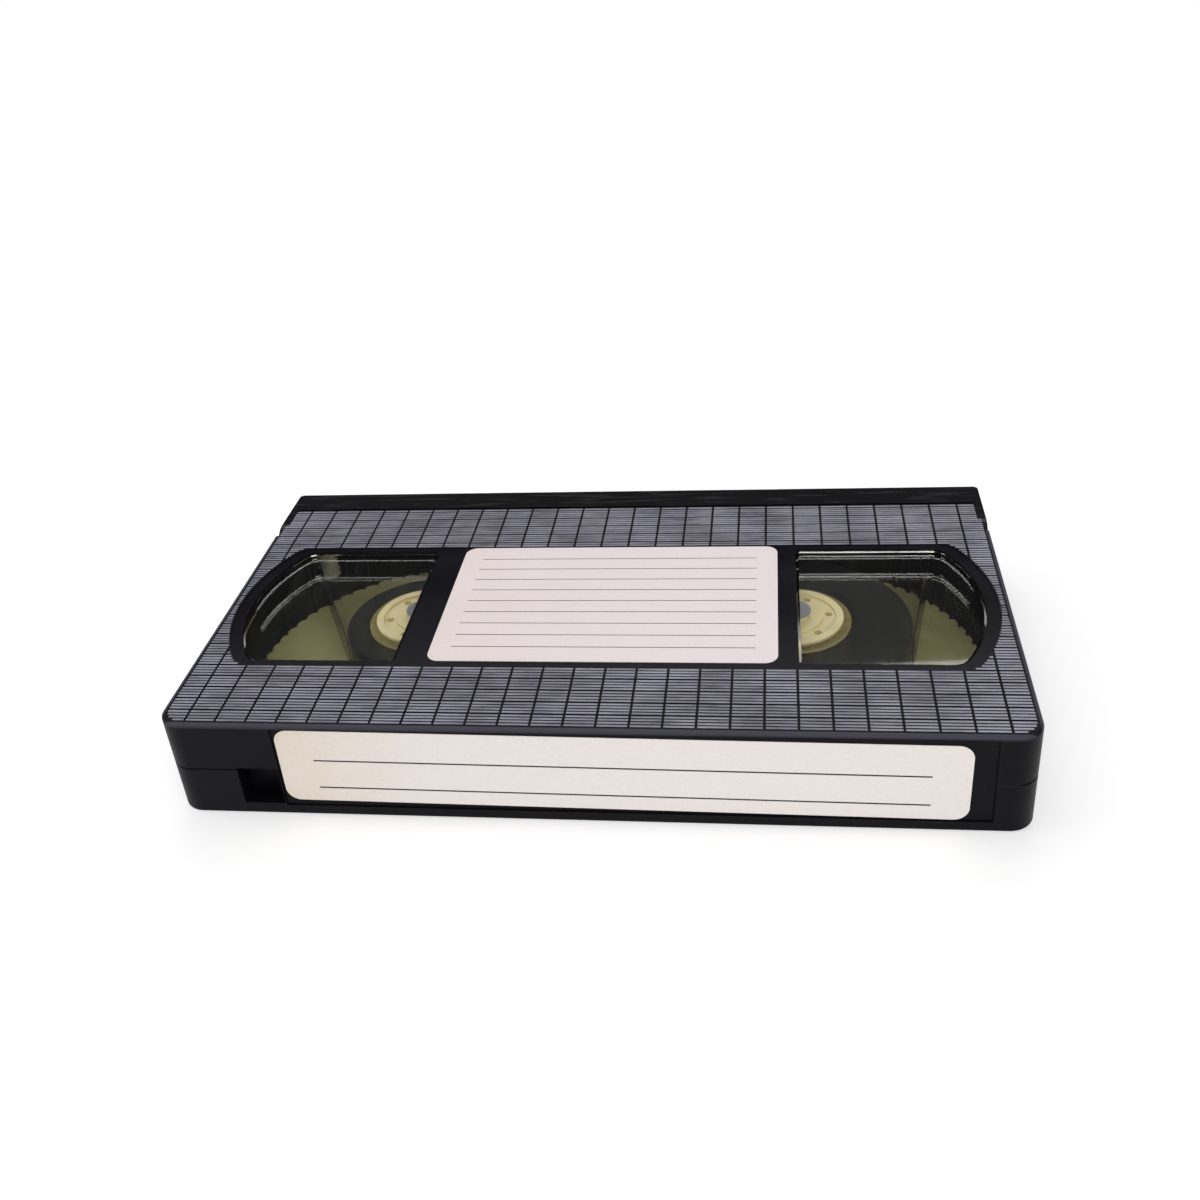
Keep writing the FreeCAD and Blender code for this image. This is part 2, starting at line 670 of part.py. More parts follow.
def lower_inside():
    """Everything that stands on the lower shell's floor."""
    inside = pocket_walls(0, SEAM_Z)
    for side in (-1, 1):
        inside.append(rod(side * reel_x, reel_y, 0, FLOOR + RIB_H, ring_in + RIB_W))
        inside.append(rod(side * PAWL_X, pawl_y, 0, pawl_top + 4 * BRAKE_WIRE, PAWL_POST_R))
    for x, y in SCREW_PLACES:
        inside.append(rod(x, y, 0, SEAM_Z, PILLAR_R))
    inside.append(rod(0, tower_y, 0, tower_top, TOWER_R))
    inside.append(rod(roller_x, roller_y, 0, tape_low - RUN_GAP, 2 * ROLLER_PIN_R))
    inside.extend(locating_holes(LOCATE_WALL, 0, LOCATE_DEPTH + LOCATE_WALL))
    lock_post_top = lock_low + LOCK_H + 6 * BRAKE_WIRE
    inside.append(rod(lock_pivot_x, lock_pivot_y, 0, lock_post_top, LOCK_PIN_R))
    inside.extend(lever_brackets())
    lining = tab_pocket(TAB_POCKET_WALL)
    inside.append(lining.common(block(-half_x, 0, spine_y, 0, 0, SEAM_Z)))
    return inside


def locating_holes(wall, z0, z1):
    """The round and the oval locating hole, or their bosses when grown by a wall."""
    r = LOCATE_R + wall
    left = rod(-locate_x, locate_y, z0, z1, r)
    half = LOCATE_SLOT / 2
    right = rod(locate_x - half, locate_y, z0, z1, r)
    right = right.fuse([
        rod(locate_x + half, locate_y, z0, z1, r),
        block(locate_x - half, locate_x + half, locate_y - r, locate_y + r, z0, z1),
    ])
    return [left, right.removeSplitter()]


def light_channel():
    """The sideways path of the end-of-tape lamp through tower, pocket walls and sides."""
    return block(
        -half_x - 1, half_x + 1, tower_y - LIGHT_WIDTH / 2, tower_y + LIGHT_WIDTH / 2,
        LIGHT_LOW, LIGHT_HIGH,
    )


def lever_brackets():
    """Two ears that carry the brake release lever."""
    x_in = LEVER_HALF_W + RUN_GAP
    x_out = x_in + LEVER_EAR_T
    half = LEVER_HUB_R
    ear = block(x_in, x_out, lever_y - half, lever_y + half, 0, LEVER_PIVOT_Z + half)
    ear = ear.cut(rod_x(lever_y, LEVER_PIVOT_Z, 0, 2 * x_out, LEVER_PIN_R + PIN_GAP))
    return both_sides(ear)


def lock_slots():
    """Slots in the right wall for the lock lever's pad and nose."""
    low = lock_low + LOCK_H / 6 - RUN_GAP
    high = lock_low + LOCK_H - LOCK_H / 6 + RUN_GAP
    pad = block(
        cheek_in - 1, half_x + 1, lock_pad_y - LOCK_PAD_W / 2 - LOCK_SLOT_ROOM,
        lock_pad_y + LOCK_PAD_W / 2 + LOCK_SLOT_ROOM, low, high,
    )
    nose = block(
        cheek_in - 1, half_x + 1, lock_nose_y - LOCK_NOSE_W / 2 - LOCK_SLOT_ROOM,
        lock_nose_y + LOCK_NOSE_W / 2 + LOCK_SLOT_ROOM, low, high,
    )
    return [pad, nose]


def screw_tip_z():
    """Height of the screws' tips."""
    return SCREW_SINK + SCREW_LENGTH


def shell_screws():
    """Five cross-recessed screws, driven from below, as a group of separate solids."""
    screws = []
    for x, y in SCREW_PLACES:
        head = rod(x, y, SCREW_SINK - SCREW_HEAD_H, SCREW_SINK, SCREW_HEAD_R)
        shank = rod(x, y, SCREW_SINK, screw_tip_z(), SCREW_R)
        screw = head.fuse(shank)
        low = SCREW_SINK - SCREW_HEAD_H - 1
        high = SCREW_SINK - SCREW_HEAD_H / 2
        half = CROSS_W / 2
        cross = [
            block(x - CROSS_R, x + CROSS_R, y - half, y + half, low, high),
            block(x - half, x + half, y - CROSS_R, y + CROSS_R, low, high),
        ]
        screws.append(screw.cut(cross))
    return Part.makeCompound(screws)


def toothed_disc(z0, z1):
    """The lower flange with its brake teeth."""
    points = []
    step = 360.0 / TOOTH_COUNT
    for i in range(TOOTH_COUNT):
        points.append(polar(0, 0, FLANGE_R, i * step))
        points.append(polar(0, 0, FLANGE_R, (i + TOOTH_LAND) * step))
        points.append(polar(0, 0, FLANGE_R - TOOTH_DEPTH, (i + TOOTH_FOOT) * step))
    return slab(points, z0, z1)


def reel_hub():
    """Hub and toothed lower flange in one moulding, on its own axis."""
    low = flange_low - HUB_SPIGOT
    body = rod(0, 0, low, clear_low, HUB_R)
    body = body.fuse([
        toothed_disc(flange_low, flange_high),
        rod(0, 0, clear_low, boss_top, HUB_R - UPPER_FLANGE_LAP),
    ])
    web_low = clear_low - HUB_WEB
    body = body.cut([
        rod(0, 0, low - 1, web_low, bore_r),
        rod(0, 0, low - 1, low + SPLINE_SETBACK, bore_r + MOUTH_STEP),
        tube(0, 0, clear_high, boss_top + 1, HUB_R - 2 * UPPER_FLANGE_LAP, 2 * NOSE_R),
    ])
    added = [rod(0, 0, clear_high, nose_top, NOSE_R)]
    for i in range(SPLINE_COUNT):
        spline = block(
            bore_r - SPLINE_HEIGHT, bore_r + HUB_WALL / 2, -SPLINE_WIDTH / 2,
            SPLINE_WIDTH / 2, low + SPLINE_SETBACK + MOUTH_STEP, web_low + HUB_WEB / 2,
        )
        spline.rotate(Vector(0, 0, 0), Vector(0, 0, 1), i * 360.0 / SPLINE_COUNT)
        added.append(spline)
    body = body.fuse(added)
    holes = []
    for i in range(SPLINE_COUNT):
        ring_r = (2 * NOSE_R + HUB_R - 2 * UPPER_FLANGE_LAP) / 2
        x, y = polar(0, 0, ring_r, (i + 0.5) * 360.0 / SPLINE_COUNT)
        holes.append(rod(x, y, clear_low - HUB_WEB / 2, boss_top + 1, DIMPLE_R))
    clamp = clamp_sector(HUB_R - CLAMP_DEPTH - FIT_GAP, HUB_R + 1, FIT_GAP)
    nose_top_edges = edges_at_height(body, nose_top)
    body = body.makeFillet(NOSE_EDGE_R, nose_top_edges)
    return body.cut(holes + [clamp])


def clamp_sector(r_in, r_out, gap):
    """Ring sector at the hub's rim, where the leader tape is clamped."""
    z0 = tape_low - gap
    z1 = tape_high + gap
    ring = tube(0, 0, z0, z1, r_out, r_in)
    half = CLAMP_ANGLE / 2 + math.degrees(gap / HUB_R)
    wedge = [(0, 0), polar(0, 0, 3 * HUB_R, -half), polar(0, 0, 3 * HUB_R, half)]
    return ring.common(slab(wedge, z0, z1))


def hub_clamp():
    """Curved clip that pinches the leader into the hub."""
    return clamp_sector(HUB_R - CLAMP_DEPTH, HUB_R, 0)


def clear_flange():
    """Clear upper flange, resting on the hub's shoulder round its boss."""
    inner = HUB_R - UPPER_FLANGE_LAP + PIN_GAP
    return tube(0, 0, clear_low, clear_high, FLANGE_R - TOOTH_DEPTH / 2, inner)


def tape_pack(depth):
    """The wound tape as one ring."""
    return tube(0, 0, tape_low, tape_high, HUB_R + depth, HUB_R + PIN_GAP)


def at_reel(solid, side, degrees):
    """Put a reel piece on the left or the right reel's axis."""
    placed = solid.copy()
    placed.rotate(Vector(0, 0, 0), Vector(0, 0, 1), degrees)
    placed.translate(Vector(side * reel_x, reel_y, 0))
    return placed


def tape_circles():
    """Centres and radii that the free tape runs round, left pack to right pack."""
    return [
        (-reel_x, reel_y, HUB_R + SUPPLY_WIND + RUN_GAP),
        (roller_x, roller_y, ROLLER_R + RUN_GAP),
        (left_post_x, post_y, POST_R + RUN_GAP),
        (right_post_x, post_y, POST_R + RUN_GAP),
        (reel_x, reel_y, HUB_R + TAKEUP_WIND + RUN_GAP),
    ]


def tangent_angles(circles):
    """Direction of the outside normal of each straight run between two circles."""
    angles = []
    for (x1, y1, r1), (x2, y2, r2) in zip(circles, circles[1:]):
        heading = math.degrees(math.atan2(y2 - y1, x2 - x1))
        distance = math.hypot(x2 - x1, y2 - y1)
        angles.append(heading + math.degrees(math.acos((r1 - r2) / distance)))
    return angles


def tape_side(circles, angles, offset):
    """Edges along one face of the tape, at an offset outside the guides."""
    edges = []
    last = len(angles) - 1
    for i, angle in enumerate(angles):
        x1, y1, r1 = circles[i]
        x2, y2, r2 = circles[i + 1]
        start = Vector(*polar(x1, y1, r1 + offset, angle), tape_low)
        end = Vector(*polar(x2, y2, r2 + offset, angle), tape_low)
        edges.append(Part.LineSegment(start, end).toShape())
        if i < last:
            turned = angles[i + 1]
            middle = Vector(*polar(x2, y2, r2 + offset, (angle + turned) / 2), tape_low)
            after = Vector(*polar(x2, y2, r2 + offset, turned), tape_low)
            edges.append(Part.Arc(end, middle, after).toShape())
    return edges


def tape_span():
    """The free tape from the supply pack round the guides to the take-up pack."""
    circles = tape_circles()
    angles = tangent_angles(circles)
    inner = tape_side(circles, angles, 0)
    outer = tape_side(circles, angles, TAPE_THICK)
    start = Part.LineSegment(inner[0].Vertexes[0].Point, outer[0].Vertexes[0].Point)
    end = Part.LineSegment(inner[-1].Vertexes[-1].Point, outer[-1].Vertexes[-1].Point)
    wire = Part.Wire(Part.__sortEdges__(inner + outer + [start.toShape(), end.toShape()]))
    return Part.Face(wire).extrude(Vector(0, 0, TAPE_WIDTH))


def reel_spring():
    """Flat leaf spring with two arms, bent down on to the hubs' buttons."""
    flat = SPRING_FLAT
    knee = reel_x - SPRING_TIP_R - 2
    high = plate_low
    low = spring_low + SPRING_T
    end = reel_x + SPRING_TIP_R
    upper = [(-end, low), (-knee, low), (-flat, high), (flat, high), (knee, low), (end, low)]
    lower = [(x, z - SPRING_T) for x, z in reversed(upper)]
    corners = [Vector(x, reel_y - SPRING_W / 2, z) for x, z in upper + lower]
    strip = Part.Face(Part.makePolygon(corners + corners[:1])).extrude(Vector(0, SPRING_W, 0))
    neck = SPRING_W / 2
    plan = [
        (-flat, -neck), (flat, -neck), (knee, -SPRING_TIP_R), (end - SPRING_TIP_R, -SPRING_TIP_R),
        (end - SPRING_TIP_R, SPRING_TIP_R), (knee, SPRING_TIP_R), (flat, neck), (-flat, neck),
        (-knee, SPRING_TIP_R), (SPRING_TIP_R - end, SPRING_TIP_R),
        (SPRING_TIP_R - end, -SPRING_TIP_R), (-knee, -SPRING_TIP_R),
    ]
    outline = slab([(x, y + reel_y) for x, y in plan], spring_low - 1, high + 1)
    tip = rod(reel_x, reel_y, spring_low - 1, high + 1, SPRING_TIP_R)
    outline = outline.fuse([tip, mirrored(tip)])
    spring = strip.common(outline)
    holes = []
    for side in (-1, 1):
        holes.append(
            rod(side * flat / 2, reel_y, spring_low - 1, high + 1, ROLLER_PIN_R + PIN_GAP)
        )
    return one(spring.cut(holes))


def window(side):
    """Clear window: a lens in the opening and a welded rim under the top plate."""
    lens_top = field_z - WINDOW_SINK
    lens = window_plan(side, window_low, lens_top, 0)
    lens = lens.makeChamfer(WINDOW_BEVEL, edges_at_height(lens, lens_top))
    rim = window_plan(side, window_low, plate_low, WINDOW_FLANGE_LAP)
    return one(lens.fuse(rim))


def face_label():
    """Paper label on the smooth field between the windows."""
    x = FACE_LABEL_SHIFT_X
    y = reel_y + FACE_LABEL_SHIFT_Y
    label = block(
        x - face_label_x / 2, x + face_label_x / 2, y - face_label_y / 2, y + face_label_y / 2,
        field_z, field_z + LABEL_T,
    )
    return round_uprights(label, FACE_LABEL_R, lambda x, y: True)


def spine_label():
    """Paper label on the spine, slightly askew."""
    label = block(
        -spine_label_x / 2, spine_label_x / 2, -spine_label_z / 2, spine_label_z / 2, 0, LABEL_T
    )
    label = round_uprights(label, SPINE_LABEL_R, lambda x, y: True)
    label.rotate(Vector(0, 0, 0), Vector(0, 0, 1), -SPINE_LABEL_TILT)
    label.rotate(Vector(0, 0, 0), Vector(1, 0, 0), 90)
    middle_z = SPINE_LABEL_LOW + spine_label_z / 2
    label.translate(Vector(spine_label_mid, spine_floor_y, middle_z))
    return label


def door():
    """Front door: face, top lip, two side arms and their pivot pins."""
    face_y = half_y - DOOR_T
    body = block(-half_x, half_x, face_y, half_y, DOOR_LIFT, top_z)
    lip_y = half_y - LIP_DEPTH
    lip = plate_x(
        [(lip_y, top_z), (lip_y + LIP_BEVEL, top_z - LIP_T), (half_y, top_z - LIP_T),
         (half_y, top_z)],
        -half_x, half_x,
    )
    left = arm_plate(-half_x, -arm_x, 0)
    body = body.fuse([lip, left, mirrored(left)]).removeSplitter()
    body = round_uprights(body, FRONT_CORNER_R, lambda x, y: y > half_y - 0.01)
    pin = rod_x(pivot_y, pivot_z, arm_x - DOOR_PIN_LENGTH, arm_x, DOOR_PIN_R)
    return one(body.fuse(both_sides(pin)))


def coil(wire, r_in, turns):
    """A close-wound coil on the Z axis: one turned solid with a groove between its turns."""
    r_mid = r_in + wire / 2
    r_out = r_in + wire
    top = wire * turns
    edges = [
        Part.LineSegment(Vector(r_mid, 0, 0), Vector(r_in, 0, 0)).toShape(),
        Part.LineSegment(Vector(r_in, 0, 0), Vector(r_in, 0, top)).toShape(),
        Part.LineSegment(Vector(r_in, 0, top), Vector(r_mid, 0, top)).toShape(),
    ]
    for i in range(turns):
        low = Vector(r_mid, 0, wire * i)
        bulge = Vector(r_out, 0, wire * (i + 0.5))
        high = Vector(r_mid, 0, wire * (i + 1))
        edges.append(Part.Arc(low, bulge, high).toShape())
    face = Part.Face(Part.Wire(Part.__sortEdges__(edges)))
    return face.revolve(Vector(0, 0, 0), Vector(0, 0, 1), 360)


def door_spring():
    """Torsion spring round the left pivot pin, with one straight leg towards the door."""
    r_in = DOOR_PIN_R + RUN_GAP
    body = coil(DOOR_WIRE, r_in, DOOR_SPRING_TURNS)
    r_mid = r_in + DOOR_WIRE / 2
    leg = Part.makeCylinder(
        DOOR_WIRE / 2, 3 * r_mid, Vector(-r_mid, 0, DOOR_WIRE / 2), Vector(0, 1, 0)
    )
    body = body.fuse(leg)
    body.rotate(Vector(0, 0, 0), Vector(0, 1, 0), 90)
    body.translate(Vector(-cheek_in + RUN_GAP, pivot_y, pivot_z))
    return one(body)


def guide_roller():
    """Plastic roller with a waist between its two rims."""
    body = tube(roller_x, roller_y, tape_low, tape_high, ROLLER_R, ROLLER_PIN_R + PIN_GAP)
    waist = tube(
        roller_x, roller_y, tape_low + ROLLER_RIM_H, tape_high - ROLLER_RIM_H, ROLLER_R + 1,
        ROLLER_R - ROLLER_WAIST,
    )
    return body.cut(waist)


def roller_pin():
    """Steel pin that the guide roller turns on."""
    return rod(roller_x, roller_y, FLOOR, plate_low, ROLLER_PIN_R)


def guide_post(x):
    """Fixed steel post at a front corner, clamped between the shells."""
    return rod(x, post_y, FLOOR, shelf_low, POST_R)


def brake_pawl():
    """Left brake pawl: eye, arm to the flange's teeth and tail to the release wedge."""
    tip = polar(-reel_x, reel_y, FLANGE_R + RUN_GAP, PAWL_ANGLE)
    px = -PAWL_X
    py = pawl_y
    along = Vector(tip[0] - px, tip[1] - py, 0).normalize()
    across = Vector(along.y, -along.x, 0)
    root = PAWL_EYE_R / 2
    arm = slab(
        [
            (px + across.x * root, py + across.y * root), tip,
            (tip[0] + PAWL_TIP_W, tip[1] + PAWL_TIP_W / 6),
            (px - across.x * root, py - across.y * root),
        ],
        pawl_low, pawl_arm_top,
    )
    eye = rod(px, py, pawl_low, pawl_top, PAWL_EYE_R)
    mid = px + PAWL_TIP_W / 2
    tail = block(
        mid - PAWL_TAIL_W / 2, mid + PAWL_TAIL_W / 2, py, py + PAWL_TAIL_L,
        pawl_tail_low, pawl_top,
    )
    body = eye.fuse([arm, tail])
    return one(body.cut(rod(px, py, 0, top_z, PAWL_POST_R + PIN_GAP)))


def brake_spring():
    """Left brake spring: small coil round the pawl's post with one straight leg."""
    r_in = PAWL_POST_R + RUN_GAP
    body = coil(BRAKE_WIRE, r_in, 3)
    r_mid = r_in + BRAKE_WIRE / 2
    leg = Part.makeCylinder(
        BRAKE_WIRE / 2, 2.5 * r_mid, Vector(-r_mid, 0, BRAKE_WIRE / 2), Vector(0, 1, 0)
    )
    body = body.fuse(leg)
    body.translate(Vector(-PAWL_X, pawl_y, pawl_top + RUN_GAP))
    return one(body)


def brake_release():
    """Central lever that a pin lifts from below; its wedge spreads the pawls' tails."""
    beam_low = LEVER_PIVOT_Z - LEVER_BEAM_H / 2
    beam_high = LEVER_PIVOT_Z + LEVER_BEAM_H / 2
    hub = rod_x(lever_y, LEVER_PIVOT_Z, -LEVER_HALF_W, LEVER_HALF_W, LEVER_HUB_R)
    reach = 2 * LEVER_HALF_W + RUN_GAP
    pin = rod_x(lever_y, LEVER_PIVOT_Z, -reach, reach, LEVER_PIN_R)
    beam = block(-LEVER_HALF_W, LEVER_HALF_W, lever_y, wedge_y, beam_low, beam_high)
    pad = rod(0, lever_y + LEVER_PAD_FORWARD, FLOOR + 2 * RUN_GAP, beam_high, LEVER_PAD_R)
    low = FLOOR + 2 * RUN_GAP
    knee = pawl_tail_low
    grown = WEDGE_TOP_HALF + (knee - low) * WEDGE_SPREAD
    outline = [
        (-grown, low), (grown, low), (WEDGE_TOP_HALF, knee), (WEDGE_TOP_HALF, pawl_top),
        (-WEDGE_TOP_HALF, pawl_top), (-WEDGE_TOP_HALF, knee),
    ]
    corners = [Vector(x, wedge_y, z) for x, z in outline]
    face = Part.Face(Part.makePolygon(corners + corners[:1]))
    wedge = face.extrude(Vector(0, WEDGE_T, 0))
    return one(hub.fuse([pin, beam, pad, wedge]))


def door_lock():
    """Lock lever inside the right wall: eye, bar, push pad and nose behind the door arm."""
    high = lock_low + LOCK_H
    eye = rod(lock_pivot_x, lock_pivot_y, lock_low, high, lock_eye_r)
    half = LOCK_T / 2
    end = lock_nose_y + LOCK_NOSE_W / 2
    bar = block(lock_x - half, lock_x + half, lock_pivot_y, end, lock_low, high)
    low_in = lock_low + LOCK_H / 6
    high_in = high - LOCK_H / 6
    pad = block(
        lock_x, half_x - RUN_GAP, lock_pad_y - LOCK_PAD_W / 2, lock_pad_y + LOCK_PAD_W / 2,
        low_in, high_in,
    )
    nose_x = arm_x - LOCK_NOSE_GAP
    nose = block(lock_x, nose_x, lock_nose_y - LOCK_NOSE_W / 2, end, low_in, high_in)
    body = eye.fuse([bar, pad, nose])
    return one(body.cut(rod(lock_pivot_x, lock_pivot_y, 0, top_z, LOCK_PIN_R + PIN_GAP)))


def lock_spring():
    """Small torsion spring on the lock lever's pin."""
    body = coil(BRAKE_WIRE, LOCK_PIN_R + RUN_GAP, 3)
    r_mid = LOCK_PIN_R + RUN_GAP + BRAKE_WIRE / 2
    leg = Part.makeCylinder(
        BRAKE_WIRE / 2, 2 * r_mid, Vector(-r_mid, 0, BRAKE_WIRE / 2), Vector(0, 1, 0)
    )
    body = body.fuse(leg)
    body.translate(Vector(lock_pivot_x, lock_pivot_y, lock_low + LOCK_H + RUN_GAP))
    return one(body)


def save_reel(name, side, wind, degrees):
    """Write the four pieces of one reel."""
    save(name + "_reel", at_reel(one(reel_hub()), side, degrees))
    save(name + "_clear_flange", at_reel(clear_flange(), side, degrees))
    save(name + "_tape_pack", at_reel(tape_pack(wind), side, degrees))
    save(name + "_hub_clamp", at_reel(hub_clamp(), side, degrees))


os.makedirs("parts", exist_ok=True)
save("upper_shell", upper_shell())
save("lower_shell", lower_shell())
save("window_left", window(-1))
save("window_right", window(1))
save("face_label", face_label())
save("spine_label", spine_label())
save("reel_spring", reel_spring())
save("shell_screws", shell_screws())
save("door", door())
save("door_spring", door_spring())
save("door_lock", door_lock())
save("lock_spring", lock_spring())
save_reel("supply", -1, SUPPLY_WIND, 160.0)
save_reel("takeup", 1, TAKEUP_WIND, 40.0)
save("tape_span", tape_span())
save("guide_roller", guide_roller())
save("roller_pin", roller_pin())
save("supply_guide_post", guide_post(left_post_x))
save("takeup_guide_post", guide_post(right_post_x))
save("brake_pawl_left", brake_pawl())
save("brake_pawl_right", mirrored(brake_pawl()))
save("brake_spring_left", brake_spring())
save("brake_spring_right", mirrored(brake_spring()))
save("brake_release", brake_release())
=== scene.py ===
"""Looks of the half-inch video cassette, put together as the real one is: lower shell, reels,
tape, guides, brakes, upper shell, windows, door, labels. Lengths in the file are in
millimetres, times MM for the scene's metres.
"""

import math

import bpy
from mathutils import Matrix, Vector


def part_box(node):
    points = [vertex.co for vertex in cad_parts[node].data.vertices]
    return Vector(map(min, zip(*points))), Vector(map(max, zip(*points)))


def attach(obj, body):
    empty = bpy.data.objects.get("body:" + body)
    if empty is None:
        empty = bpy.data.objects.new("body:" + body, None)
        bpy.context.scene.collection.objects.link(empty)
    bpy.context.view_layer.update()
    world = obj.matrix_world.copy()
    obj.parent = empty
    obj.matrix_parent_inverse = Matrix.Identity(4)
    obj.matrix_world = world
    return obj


MM = 0.001

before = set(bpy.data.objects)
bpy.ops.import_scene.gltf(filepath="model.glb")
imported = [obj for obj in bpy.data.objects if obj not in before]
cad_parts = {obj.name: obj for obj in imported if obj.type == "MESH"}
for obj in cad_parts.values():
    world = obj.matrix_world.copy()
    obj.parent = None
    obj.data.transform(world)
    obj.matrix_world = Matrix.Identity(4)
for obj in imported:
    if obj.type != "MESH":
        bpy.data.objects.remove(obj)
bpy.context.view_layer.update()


# Shell halves. Injection moulded in black polystyrene. The tool's outer faces are fine spark
# eroded, which gives a dull satin, and the inside and the smooth field are left polished.
# The ribbed panel's floor is coloured lighter grey as painted sheen, and a painted highlight
# runs as a lighter grey strip along the top edges at the spine and at both ends.
SHELL_BLACK = "#0A090D"
SHELL_SMOOTH_BLACK = "#0B0B12"
SHELL_HANDLED = "#1D1C23"
SHELL_PANEL_SHEEN = "#201F29"
SHELL_EDGE_HIGHLIGHT = "#403F49"
GRAIN_SIZE = 0.35
FIELD_Z = 24.6
PANEL_Z = 24.85
HIGHLIGHT_FADE = 0.3
HIGHLIGHT_LOW = 24.0
HIGHLIGHT_HIGH = 24.8
HANDLED_SHARE = 0.22
SPINE_HIGHLIGHT_STRIP = 1.3
SIDE_HIGHLIGHT_STRIP = 1.0


def linear(code):
    """The linear colour of an sRGB hex value."""
    parts = [int(code[i:i + 2], 16) / 255 for i in (1, 3, 5)]
    return [
        p / 12.92 if p <= 0.04045 else ((p + 0.055) / 1.055) ** 2.4 for p in parts
    ] + [1.0]


def add(tree, kind, sockets=None, **settings):
    """Add a node with its settings, and a value or a link for each named socket."""
    made = tree.nodes.new(kind)
    for name, value in settings.items():
        setattr(made, name, value)
    for name, value in (sockets or {}).items():
        if isinstance(value, bpy.types.NodeSocket):
            tree.links.new(value, made.inputs[name])
        else:
            made.inputs[name].default_value = value
    return made


def start_material(name, **shader):
    """A new material: its node tree, its main shader and the object's own coordinates."""
    material = bpy.data.materials.new(name)
    material.use_nodes = True
    tree = material.node_tree
    main = tree.nodes["Principled BSDF"]
    for socket, value in shader.items():
        main.inputs[socket.replace("_", " ")].default_value = value
    place = add(tree, "ShaderNodeTexCoord").outputs["Object"]
    return material, tree, main, place


def dress(names, material):
    """Give CAD nodes a material."""
    for name in names:
        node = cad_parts[name]
        node.data.materials.clear()
        node.data.materials.append(material)


def shell_plastic():
    """Black polystyrene: eroded satin outside, darker and glossier in the smooth field, with painted sheen
    on the panel floor and a painted highlight along the top edges.
    """
    material, tree, main, place = start_material(
        "black polystyrene, moulded", Specular_IOR_Level=0.07, IOR=1.59
    )
    height = add(tree, "ShaderNodeSeparateXYZ", {0: place}).outputs["Z"]
    polished = add(
        tree, "ShaderNodeMath", {0: height, 1: FIELD_Z * MM, 2: 0.03 * MM}, operation="COMPARE"
    ).outputs[0]
    eroded = add(tree, "ShaderNodeMath", {0: 1.0, 1: polished}, operation="SUBTRACT").outputs[0]
    handled = add(
        tree, "ShaderNodeTexNoise", {"Vector": place, "Scale": 1 / (22 * MM), "Detail": 3.0}
    ).outputs[0]
    handled = add(
        tree, "ShaderNodeMapRange", {"Value": handled, "From Min": 0.45, "From Max": 0.8}
    ).outputs[0]
    colour = add(
        tree, "ShaderNodeMix",
        {"Factor": eroded, 6: linear(SHELL_SMOOTH_BLACK), 7: linear(SHELL_BLACK)},
        data_type="RGBA",
    ).outputs[2]
    worn = add(
        tree, "ShaderNodeMath", {0: handled, 1: HANDLED_SHARE}, operation="MULTIPLY"
    ).outputs[0]
    colour = add(
        tree, "ShaderNodeMix", {"Factor": worn, 6: colour, 7: linear(SHELL_HANDLED)},
        data_type="RGBA",
    ).outputs[2]
    # Painted sheen: the ribbed panel's floor is coloured a lighter grey than the black plastic.
    panel = add(
        tree, "ShaderNodeMath", {0: height, 1: PANEL_Z * MM, 2: 0.05 * MM}, operation="COMPARE"
    ).outputs[0]
    colour = add(
        tree, "ShaderNodeMix", {"Factor": panel, 6: colour, 7: linear(SHELL_PANEL_SHEEN)},
        data_type="RGBA",
    ).outputs[2]
    # Painted highlight: a lighter grey strip along the shell's top edges, at both ends and along the spine.
    low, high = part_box("upper_shell")
    axes = add(tree, "ShaderNodeSeparateXYZ", {0: place}).outputs
    side = add(tree, "ShaderNodeMath", {0: axes["X"]}, operation="ABSOLUTE").outputs[0]
    side = add(
        tree, "ShaderNodeMapRange",
        {"Value": side, "From Min": high.x - SIDE_HIGHLIGHT_STRIP * MM,
         "From Max": high.x - (SIDE_HIGHLIGHT_STRIP - HIGHLIGHT_FADE) * MM},
    ).outputs[0]
    spine = add(
        tree, "ShaderNodeMapRange",
        {"Value": axes["Y"], "From Min": low.y + SPINE_HIGHLIGHT_STRIP * MM,
         "From Max": low.y + (SPINE_HIGHLIGHT_STRIP - HIGHLIGHT_FADE) * MM},
    ).outputs[0]
    edge_highlight = add(tree, "ShaderNodeMath", {0: side, 1: spine}, operation="MAXIMUM").outputs[0]
    top = add(
        tree, "ShaderNodeMapRange", {"Value": height, "From Min": HIGHLIGHT_LOW * MM, "From Max": HIGHLIGHT_HIGH * MM}
    ).outputs[0]
    edge_highlight = add(tree, "ShaderNodeMath", {0: edge_highlight, 1: top}, operation="MULTIPLY").outputs[0]
    colour = add(
        tree, "ShaderNodeMix", {"Factor": edge_highlight, 6: colour, 7: linear(SHELL_EDGE_HIGHLIGHT)},
        data_type="RGBA",
    ).outputs[2]
    tree.links.new(colour, main.inputs["Base Color"])
    gloss = add(
        tree, "ShaderNodeMapRange", {"Value": eroded, "To Min": 0.2, "To Max": 0.42}
    ).outputs[0]
    gloss = add(
        tree, "ShaderNodeMath", {0: handled, 1: 0.08, 2: gloss}, operation="MULTIPLY_ADD"
    ).outputs[0]
    tree.links.new(gloss, main.inputs["Roughness"])
    grain = add(
        tree, "ShaderNodeTexNoise",
        {"Vector": place, "Scale": 1 / (GRAIN_SIZE * MM), "Detail": 1.0},
    ).outputs[0]
    grain = add(tree, "ShaderNodeMath", {0: grain, 1: eroded}, operation="MULTIPLY").outputs[0]
    bump = add(
        tree, "ShaderNodeBump", {"Height": grain, "Strength": 0.25, "Distance": 0.03 * MM}
    ).outputs[0]
    tree.links.new(bump, main.inputs["Normal"])
    return material


black_plastic = shell_plastic()
dress(["lower_shell", "upper_shell"], black_plastic)


